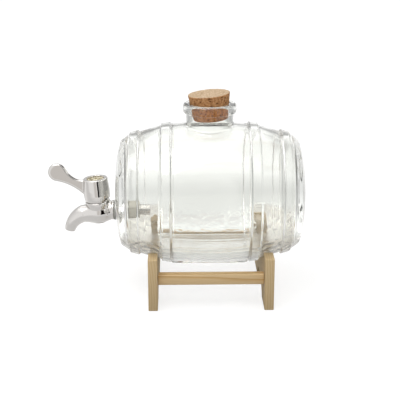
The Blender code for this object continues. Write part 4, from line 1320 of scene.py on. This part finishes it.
@dataclass
class TapBody:
    """The one moulding of the tap: flange, belly, spout, bowl, stop lug and threaded tail."""

    finish: ChromePlatedAbs = ChromePlatedAbs()
    flange_face: float = 0.003
    flange_thickness: float = 0.0016
    flange_radius: float = 0.0088
    stub_radius: float = 0.0082
    valve_reach: float = 0.0163
    belly_radius: float = 0.0106
    bend: Point = (0.0303, 0.0035)
    bend_radius: float = 0.0077
    tip: Point = (0.0423, 0.0183)
    tip_radius: float = 0.0046
    knee_shares: Point = (0.83, 0.31)
    mouth_radius: float = 0.0036
    bore_radius: float = 0.003
    lean: float = math.radians(4.5)
    rim_rise: float = 0.0107
    bowl_radius: float = 0.011
    bowl_foot_radius: float = 0.0073
    bowl_foot_rise: float = 0.0017
    collar_radius: float = 0.0091
    collar_rise: float = 0.0138
    plug_bore_radius: float = 0.0063
    plug_bore_drop: float = 0.0089
    lug_direction: float = math.radians(-36.0)
    lug_width: float = 0.0042
    lug_foot: float = 0.0025
    lug_entry: float = 0.0018
    lug_proud: float = 0.0004
    tail_radius: float = 0.005
    tail_length: float = 0.029
    thread_pitch: float = 0.0014
    thread_depth: float = 0.0005
    facets: int = 72

    def __post_init__(self) -> None:
        """Work out the tap's place on the glass."""
        low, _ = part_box("glass_barrel")
        nut_low, nut_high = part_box("tap_lock_nut")
        self.place = Vector((low.x, 0.0, (nut_low.z + nut_high.z) / 2.0))
        self.stub_reach = self.flange_face + self.flange_thickness / 2.0

    def run_drop(self, reach: float) -> float:
        """Return the drop of the middle line on the straight run."""
        return self.bend[1] * (reach - self.stub_reach) / (self.bend[0] - self.stub_reach)

    def run_radius(self, reach: float) -> float:
        """Return the radius on the straight run, which swells under the valve."""
        if reach < self.valve_reach:
            share = (reach - self.stub_reach) / (self.valve_reach - self.stub_reach)
            return mixed(self.stub_radius, self.belly_radius, eased(share))
        share = (reach - self.valve_reach) / (self.bend[0] - self.valve_reach)
        return mixed(self.belly_radius, self.bend_radius, eased(share))

    def stations(self) -> list[Triple]:
        """Return (reach, drop, radius) of the middle line from the flange to the tip."""
        made = []
        for step in range(20):
            reach = mixed(self.stub_reach, self.bend[0], step / 20)
            made.append((reach, self.run_drop(reach), self.run_radius(reach)))
        knee = tuple(mixed(*places) for places in zip(self.bend, self.tip, self.knee_shares))
        for step in range(19):
            reach, drop = along_curve(self.bend, knee, self.tip, step / 18)
            made.append((reach, drop, mixed(self.bend_radius, self.tip_radius, step / 18)))
        return made

    def tube(self, name: str, stations: Sequence[Triple]) -> Solid:
        """Return a tube through stations, with rings square to its middle line."""
        middles = [Vector((-reach, 0.0, -drop)) for reach, drop, _ in stations]
        last = len(middles) - 1
        rings = []
        for index, (_, _, radius) in enumerate(stations):
            forward = middles[min(index + 1, last)] - middles[max(index - 1, 0)]
            above = Vector((0.0, 1.0, 0.0)).cross(forward.normalized())
            flat = circle(radius, 0.0, self.facets)
            rings.append([middles[index] + above * point.x + Vector((0.0, point.y, 0.0)) for point in flat])
        return skinned(name, rings)

    def valve_matrix(self) -> Matrix:
        """Return what takes points on the leaning valve axis into the tap's own frame."""
        port = Vector((-self.valve_reach, 0.0, -self.run_drop(self.valve_reach)))
        return Matrix.Translation(port) @ Matrix.Rotation(-self.lean, 4, "Y")

    def bowl(self) -> Solid:
        """Return the bowl under the hub, with the collar that the hub runs on."""
        shoulder = self.rim_rise - 0.0003
        profile = [(self.bowl_foot_radius, 0.0)]
        for step in range(15):
            angle = math.pi / 2.0 * step / 14
            radius = mixed(self.bowl_foot_radius, self.bowl_radius, math.sin(angle))
            profile.append((radius, mixed(shoulder - 0.0004, self.bowl_foot_rise, math.cos(angle))))
        profile += [(self.bowl_radius - 0.0004, shoulder), (self.collar_radius, shoulder)]
        profile.append((self.collar_radius, self.collar_rise))
        return turned("bowl", profile, self.facets)

    def lug(self) -> Solid:
        """Return the block that the hub's notch stops against."""
        inner, outer = self.collar_radius - 0.0008, self.bowl_radius + self.lug_proud
        half = self.lug_width / 2.0
        corners = [(inner, -half), (outer, -half), (outer, half), (inner, half)]
        block = upright("lug", corners, (self.lug_foot, self.rim_rise + self.lug_entry))
        return moved(block, Matrix.Rotation(self.lug_direction, 4, "Z"))

    def waterway(self) -> Solid:
        """Return the hollow from the tail to the mouth of the spout."""
        stations = [(-self.tail_length - OVERRUN, 0.0, self.bore_radius)]
        for reach, drop, _ in self.stations():
            share = max(0.0, (reach - self.bend[0]) / (self.tip[0] - self.bend[0]))
            stations.append((reach, drop, mixed(self.bore_radius, self.mouth_radius, share)))
        (last_reach, last_drop, _), (reach, drop, _) = stations[-2:]
        stations.append((4.0 * reach - 3.0 * last_reach, 4.0 * drop - 3.0 * last_drop, self.mouth_radius))
        return self.tube("waterway", stations)

    def tail(self) -> Solid:
        """Return the tail beyond the flange, with its thread cut as one helix."""
        start, end = -0.0004, self.tail_length
        rows = round((end - start) / self.thread_pitch * 10)
        outer = []
        for row in range(rows + 1):
            height = mixed(start, end, row / rows)
            ring = []
            for step in range(self.facets):
                turn = step / self.facets
                phase = (height / self.thread_pitch - turn) % 1.0
                groove = max(0.0, 1.0 - abs(phase - 0.5) * 2.6)
                fade = min(1.0, (end - height) / 0.0012 + 0.2)
                sunk = groove if fade >= 1.0 else max(groove, 1.0 - fade)
                radius = self.tail_radius - 0.0001 - self.thread_depth * sunk
                ring.append(Vector((*on_circle(radius, math.tau * turn), height)))
            outer.append(ring)
        bore = [circle(self.bore_radius + 0.0001, height, self.facets) for height in (end, start)]
        return lengthwise(skinned("tap_tail_threaded", outer + bore, endless=True))

    def flange(self) -> Solid:
        """Return the flange that presses the washer on the glass."""
        face, back = -self.flange_face, -self.flange_face - self.flange_thickness
        corners = [
            (self.tail_radius, back - 0.001), (self.tail_radius, back), (self.flange_radius, back),
            (self.flange_radius, face), (self.tail_radius, face), (self.tail_radius, 0.0),
        ]
        profile = rounded(corners, [0.0, 0.0, 0.0005, 0.0004, 0.0, 0.0], steps=3)
        return lengthwise(turned("flange", profile, self.facets))

    def build(self) -> None:
        """Build the plated body and its threaded tail."""
        material = self.finish.material()
        body = self.tube("tap_body_plated", self.stations())
        combined(body, self.flange(), Cut.JOIN)
        combined(body, moved(self.bowl(), self.valve_matrix()), Cut.JOIN)
        combined(body, moved(self.lug(), self.valve_matrix()), Cut.JOIN)
        ends = (-self.plug_bore_drop, self.collar_rise + OVERRUN)
        bore = bar("plug_bore", self.plug_bore_radius, ends, self.facets)
        combined(body, moved(bore, self.valve_matrix()), Cut.TAKE_AWAY)
        combined(body, self.waterway(), Cut.TAKE_AWAY)
        moulded(body)
        moved(body, Matrix.Translation(self.place))
        fitted(shaded(body, 70.0), Body.BARREL, material, ["tap_body"])
        tail = moved(self.tail(), Matrix.Translation(self.place))
        fitted(shaded(tail, 50.0), Body.BARREL, material)


@dataclass
class TapLever:
    """The hub with its open top, and the flat arm that ends in a round paddle."""

    finish: ChromePlatedAbs = ChromePlatedAbs()
    rim_rise: float = 0.0107
    height: float = 0.0203
    top_radius: float = 0.0107
    belly_radius: float = 0.0114
    rim_radius: float = 0.0106
    bore_radius: float = 0.008
    spline_depth: float = 0.0005
    spline_count: int = 12
    skirt_radius: float = 0.0094
    skirt_depth: float = 0.0034
    collar_radius: float = 0.0091
    notch_depth: float = 0.0025
    lug_direction: float = math.radians(-36.0)
    lug_width: float = 0.0042
    arm_thickness: float = 0.0044
    arm_edge: float = 0.002
    arm_root_rise: float = 0.0037
    arm_top_drop: float = 0.001
    paddle_radius: float = 0.008
    paddle_reach: float = 0.0322
    paddle_rise: float = 0.0282
    underside_shares: Point = (0.62, 0.6)
    topside_shares: Point = (0.62, 0.71)
    facets: int = 96

    def hub(self) -> Solid:
        """Return the turned hub, before it is hollowed."""
        shares = ((0.0, 0.0), (0.035, 0.35), (0.12, 0.75), (0.27, 1.0), (0.5, 1.0))
        corners = []
        for up, out in shares:
            radius = mixed(self.rim_radius, self.belly_radius, out)
            corners.append((radius, self.rim_rise + self.height * up))
        top = self.rim_rise + self.height
        corners += [(self.top_radius, top), (self.bore_radius, top)]
        profile = rounded(corners, [0.0, 0.001, 0.004, 0.01, 0.03, 0.0009, 0.0])
        return turned("tap_lever_plated", profile, self.facets)

    def arm_outline(self) -> list[Point]:
        """Return the arm's outline, as (outward, height over the rim)."""
        root = self.bore_radius + 0.0013
        foot, top = (root, self.arm_root_rise), (root, self.height - self.arm_top_drop)
        first, last = math.radians(-73.0), math.radians(162.0)

        def on_paddle(angle: float) -> Point:
            """Return a point on the paddle's round edge."""
            out, up = on_circle(self.paddle_radius, angle)
            return self.paddle_reach + out, self.paddle_rise + up

        under = (self.paddle_reach * self.underside_shares[0], self.paddle_rise * self.underside_shares[1])
        over = (self.paddle_reach * self.topside_shares[0], self.paddle_rise * self.topside_shares[1])
        outline = [along_curve(foot, under, on_paddle(first), i / 20) for i in range(20)]
        outline += [on_paddle(mixed(first, last, i / 36)) for i in range(37)]
        outline += [along_curve(on_paddle(last), over, top, (i + 1) / 20) for i in range(20)]
        return outline

    def arm(self) -> Solid:
        """Return the flat upright arm with rounded edges."""
        half, outline = self.arm_thickness / 2.0, self.arm_outline()
        rings = [[Vector((-out, y, self.rim_rise + up)) for out, up in outline] for y in (-half, half)]
        return bevelled(skinned("arm", rings), self.arm_edge, flat_side_edges, segments=4)

    def bore(self) -> Solid:
        """Return the splined hollow that holds the plug's head."""
        points = []
        for index in range(4 * self.spline_count):
            radius = self.bore_radius - (self.spline_depth if index % 4 in (2, 3) else 0.0)
            points.append(on_circle(radius, math.tau * index / (4 * self.spline_count)))
        return upright("bore", points, (self.rim_rise - OVERRUN, self.rim_rise + self.height + OVERRUN))

    def notch(self) -> Solid:
        """Return the cutter for the notch that lets the lever turn past the lug."""
        half = math.asin((self.lug_width / 2.0 + 0.0003) / self.collar_radius)
        start, end = self.lug_direction - half, self.lug_direction + half + math.radians(90.0)
        angles = [mixed(start, end, i / 40) for i in range(41)]
        outline = [on_circle(self.belly_radius + OVERRUN, angle) for angle in angles]
        outline += [on_circle(self.collar_radius, angle) for angle in reversed(angles)]
        return upright("notch", outline, (self.rim_rise - OVERRUN, self.rim_rise + self.notch_depth))

    def build(self, place: Matrix) -> None:
        """Build the plated lever and fit it on the valve's axis."""
        lever = combined(self.hub(), self.arm(), Cut.JOIN)
        combined(lever, self.bore(), Cut.TAKE_AWAY)
        ends = (self.rim_rise - OVERRUN, self.rim_rise + self.skirt_depth)
        combined(lever, bar("skirt", self.skirt_radius, ends, self.facets), Cut.TAKE_AWAY)
        combined(lever, self.notch(), Cut.TAKE_AWAY)
        moulded(lever)
        moved(lever, place)
        fitted(shaded(lever, 70.0), Body.LEVER, self.finish.material(), ["tap_lever"])


@dataclass
class Valve:
    """The valve's own parts, which keep their CAD solids."""

    plug_finish: MouldedPlastic = MouldedPlastic("cream_acetal_moulded", "E3DCC4", "D5CBAC", 0.42)
    ring_finish: MouldedPlastic = MouldedPlastic("nitrile_rubber_moulded", "1E1E1E", "151515", 0.6)
    clip_finish: DrawnSpringSteel = DrawnSpringSteel()

    def build(self) -> None:
        """Dress the plug, its rings and its clip."""
        dressed("valve_plug", self.plug_finish.material())
        rubber = self.ring_finish.material()
        dressed("plug_o_ring_upper", rubber)
        dressed("plug_o_ring_lower", rubber)
        dressed("plug_retaining_ring", self.clip_finish.material())


@dataclass
class Studio:
    """The pale floor, the soft light round it and the camera."""

    aim: Vector = field(default_factory=lambda: Vector((0.0214, 0.0, 0.0803)))
    distance: float = 0.87
    azimuth: float = math.radians(-1.2)
    elevation: float = math.radians(18.0)
    lens: float = 89.0
    floor_left: float = -3.0
    floor_right: float = 3.0
    floor_front: float = -0.25
    floor_rear: float = 3.0
    # Glow of the paper behind the object and in front of it, which keeps it white in the picture
    floor_glow: float = 0.77
    # The same, as seen in mirrors and through glass, from the paper's front edge to far behind the object
    glow_depths: Point = (-0.25, 0.45)
    glows: tuple[tuple[float, str], ...] = (
        (0.0, "E0E0E0"), (0.2, "B6B6B6"), (0.34, "BEBEBE"), (0.45, "E2E0DE"), (0.52, "E2E0DE"),
        (0.62, "B6B6B6"), (0.75, "B2B2B2"), (0.97, "DFDFDF"))
    # Through glass the paper looks dim this far out on both sides
    dim_start: float = 0.14
    dim_end: float = 0.32
    dim_share: float = 0.8
    # Strengths of the even light, of the roof over the table and of the soft lamp
    even_light: float = 0.82
    roof_light: float = 1.6
    lamp_power: float = 6.0
    # Grey of the walls that glass edges bring in from the side
    side_grey: str = "8A8A88"
    # Grey of the room in front, which the rear wall of the glass brings in
    front_grey: str = "B8B8B6"
    tent_light: float = 1.12
    # A dark panel hangs high on the right, where the paddle's rim mirrors it
    panel_direction: Vector = field(default_factory=lambda: Vector((0.6, 0.05, 0.72)))
    panel_reach: float = 0.86
    panel_fade: float = 0.03
    panel_colour: str = "2A2019"
    roof_fade: float = 0.25
    paper_colour: str = "959595"
    paper_grain: float = 0.003
    paper_relief: float = 0.00002
    lamp_size: Point = (0.9, 0.7)
    lamp_place: Triple = (-0.35, -0.3, 1.1)
    sensor_width: float = 36.0

    def build_floor(self) -> None:
        """Lay the white paper that the cradle stands on."""
        shape = bmesh.new()
        left, right, front, rear = self.floor_left, self.floor_right, self.floor_front, self.floor_rear
        corners = [(left, front), (right, front), (right, rear), (left, rear)]
        shape.faces.new([shape.verts.new((x, y, -0.0002)) for x, y in corners])
        floor = add_mesh("paper_floor", shape)
        recipe = Recipe("matt_white_paper")
        recipe.give_relief(recipe.speckle(self.paper_grain, detail=3.0), self.paper_relief)
        path = recipe.add_node("LightPath").node.outputs
        bent = recipe.add_node("Math", {
            0: path["Is Glossy Ray"], 1: path["Is Transmission Ray"]}, operation="MAXIMUM")
        far_glow = recipe.add_node("Math", {
            0: bent, 1: self.bent_glow(recipe, path["Is Transmission Ray"])}, operation="MULTIPLY")
        near_glow = recipe.add_node("Math", {
            0: path["Is Camera Ray"], 1: self.floor_glow}, operation="MULTIPLY")
        glow = recipe.add_node("Math", {0: near_glow, 1: far_glow}, operation="ADD")
        recipe.set_shader({
            "Base Color": linear(self.paper_colour),
            "Roughness": 0.9,
            "Specular IOR Level": 0.1,
            "Emission Color": WHITE,
            "Emission Strength": glow,
        })
        floor.data.materials.append(recipe.material)

    def bent_glow(self, recipe: Recipe, through_glass: Socket) -> Socket:
        """Return the paper's glow as mirrors and glass show it.

        Args:
            recipe: The paper's material.
            through_glass: 1 for light that came through glass, which finds the paper dim far out.

        Returns:
            The socket that carries the glow.
        """
        parts = recipe.add_node("SeparateXYZ", {"Vector": recipe.place()}).node.outputs
        front, rear = self.glow_depths
        share = recipe.add_node("MapRange", {"Value": parts["Y"], "From Min": front, "From Max": rear})
        glow = recipe.add_node("ValToRGB", {"Fac": share})
        recipe.set_ramp(glow, self.glows)
        aside = recipe.add_node("Math", {0: parts["X"], 1: self.aim.x}, operation="SUBTRACT")
        away = recipe.add_node("Math", {0: aside}, operation="ABSOLUTE")
        dimmed = recipe.add_node("MapRange", {
            "Value": away, "From Min": self.dim_start, "From Max": self.dim_end, "To Max": self.dim_share})
        lost = recipe.add_node("Math", {
            0: dimmed, 1: through_glass}, operation="MULTIPLY")
        kept = recipe.add_node("Math", {0: 1.0, 1: lost}, operation="SUBTRACT")
        return recipe.add_node("Math", {0: glow, 1: kept}, operation="MULTIPLY")

    def tent_view(self, sheet: NodeSheet) -> Socket:
        """Return what plated parts mirror: pale walls with a dark slit and a dark panel, under the roof."""
        way = sheet.add_node("SeparateXYZ", {0: self.directions(sheet)}).node.outputs
        ahead = sheet.add_node("Math", {0: way["Y"], 1: -1.0}, operation="MULTIPLY")
        turn = sheet.add_node("Math", {0: way["X"], 1: ahead}, operation="ARCTAN2")
        share = sheet.add_node("Math", {0: turn, 1: 1.0 / math.tau, 2: 0.5}, operation="MULTIPLY_ADD")
        walls = sheet.add_node("ValToRGB", {"Fac": share})
        sheet.set_ramp(walls, [
            (0.0, "D0D0D0"), (0.2, "E6E6E6"), (0.36, "FFFFFF"), (0.45, "FFFFFF"), (0.475, "DEDBD8"),
            (0.515, "DEDBD8"), (0.526, "FFFDFB"), (0.534, "FFFDFB"), (0.54, "0C0A08"), (0.573, "0C0A08"),
            (0.58, "F4F4F4"), (0.61, "B8B6B3"), (0.66, "E8E8E8"), (0.74, "FFFFFF"),
        ])
        bright = sheet.add_node("VectorMath", {
            0: walls, "Scale": self.tent_light}, operation="SCALE")
        near_panel = sheet.add_node("VectorMath", {
            0: self.directions(sheet), 1: self.panel_direction.normalized(),
        }, out="Value", operation="DOT_PRODUCT")
        on_panel = sheet.add_node("MapRange", {
            "Value": near_panel, "From Min": self.panel_reach, "From Max": self.panel_reach + self.panel_fade})
        return sheet.add_node("Mix", {
            "Factor": on_panel, 6: self.under_roof(sheet, bright, 0.5), 7: linear(self.panel_colour),
        }, out=2, data_type="RGBA")

    def directions(self, sheet: NodeSheet) -> Socket:
        """Return the direction that the light comes from."""
        return sheet.add_node("TexCoord", out="Generated")

    def under_roof(self, sheet: NodeSheet, walls: Socket, eaves: float) -> Socket:
        """Return the walls with the bright roof over them, which starts at the height of its eaves."""
        way = sheet.add_node("SeparateXYZ", {0: self.directions(sheet)}).node.outputs
        high = sheet.add_node("MapRange", {
            "Value": way["Z"], "From Min": eaves, "From Max": eaves + self.roof_fade})
        roof = (self.roof_light, self.roof_light, self.roof_light, 1.0)
        return sheet.add_node("Mix", {
            "Factor": high, 6: walls, 7: roof}, out=2, data_type="RGBA")

    def bright_field(self, sheet: NodeSheet) -> Socket:
        """Return what shows through glass: white straight behind, grey round it and pale grey in front."""
        behind = Vector((math.sin(-self.azimuth), math.cos(self.azimuth), -math.tan(self.elevation)))
        facing = sheet.add_node("VectorMath", {
            0: self.directions(sheet), 1: behind.normalized()}, out="Value", operation="DOT_PRODUCT")
        share = sheet.add_node("Math", {
            0: facing, 1: 0.5, 2: 0.5}, operation="MULTIPLY_ADD")
        walls = sheet.add_node("ValToRGB", {"Fac": share})
        sheet.set_ramp(walls, [
            (0.0, self.front_grey), (0.07, self.front_grey), (0.16, "E7E7E7"), (0.35, "E7E7E7"),
            (0.5, self.side_grey), (0.95, self.side_grey), (0.985, "FFFFFF"), (1.0, "FFFFFF"),
        ])
        return self.under_roof(sheet, walls, 0.2)

    def build_world(self) -> None:
        """Make the light tent: even light, with walls and a roof for what mirrors or bends light."""
        world = bpy.data.worlds.new("light_tent")
        world.use_nodes = True
        bpy.context.scene.world = world
        world.node_tree.nodes.clear()
        sheet = NodeSheet(world.node_tree)
        path = sheet.add_node("LightPath").node.outputs
        view = sheet.add_node("Mix", {
            "Factor": path["Is Transmission Ray"], 6: self.tent_view(sheet), 7: self.bright_field(sheet),
        }, out=2, data_type="RGBA")
        tent = sheet.add_node("Background", {"Color": view})
        even = sheet.add_node("Background", {"Color": WHITE, "Strength": self.even_light})
        plain = sheet.add_node("Background", {"Color": WHITE})
        bent = sheet.add_node("Math", {
            0: path["Is Glossy Ray"], 1: path["Is Transmission Ray"]}, operation="MAXIMUM")
        lit = sheet.add_node("MixShader", {0: bent, 1: even, 2: tent})
        seen = sheet.add_node("MixShader", {0: path["Is Camera Ray"], 1: lit, 2: plain})
        sheet.fill(sheet.tree.nodes.new("ShaderNodeOutputWorld"), {0: seen})

    def set_light_paths(self) -> None:
        """Let light bounce often enough inside the thick glass of the barrel's ends."""
        cycles = bpy.context.scene.cycles
        cycles.max_bounces = 32
        cycles.glossy_bounces = 24
        cycles.transmission_bounces = 32

    def build_lamps(self) -> None:
        """Hang the soft lamp over the table, a little to the left and to the front."""
        light = bpy.data.lights.new("soft_box", "AREA")
        light.shape = "RECTANGLE"
        light.size, light.size_y = self.lamp_size
        light.energy = self.lamp_power
        lamp = bpy.data.objects.new("soft_box", light)
        lamp.location = self.lamp_place
        lamp.rotation_mode = "QUATERNION"
        lamp.rotation_quaternion = (lamp.location - self.aim).to_track_quat("Z", "Y")
        bpy.context.scene.collection.objects.link(lamp)

    def build_camera(self) -> None:
        """Set the camera up at the height and distance of the photograph's."""
        back = Vector((
            math.sin(self.azimuth) * math.cos(self.elevation),
            -math.cos(self.azimuth) * math.cos(self.elevation),
            math.sin(self.elevation),
        ))
        data = bpy.data.cameras.new("camera")
        data.lens = self.lens
        data.sensor_width = self.sensor_width
        data.clip_start, data.clip_end = 0.01, 50.0
        camera = bpy.data.objects.new("camera", data)
        camera.location = self.aim + back * self.distance
        camera.rotation_mode = "QUATERNION"
        camera.rotation_quaternion = back.to_track_quat("Z", "Y")
        bpy.context.scene.collection.objects.link(camera)
        bpy.context.scene.camera = camera

    def build(self) -> None:
        """Build the floor, the world, the lamp and the camera."""
        bpy.context.scene.view_settings.view_transform = "Standard"
        self.build_floor()
        self.build_world()
        self.build_lamps()
        self.build_camera()
        self.set_light_paths()


def main() -> None:
    """Build every sub-assembly in order, then the studio."""
    logging.basicConfig(level=logging.INFO, format="%(name)s: %(message)s")
    barrel = GlassBarrel()
    barrel.build()
    mouth = barrel.lip_top - barrel.mouth_edge
    CorkStopper().build(barrel.middle + UP * mouth)
    Cradle().build()
    TapFixing().build()
    body = TapBody()
    body.build()
    TapLever().build(Matrix.Translation(body.place) @ body.valve_matrix())
    Valve().build()
    Studio().build()


if __name__ == "__main__":
    main()
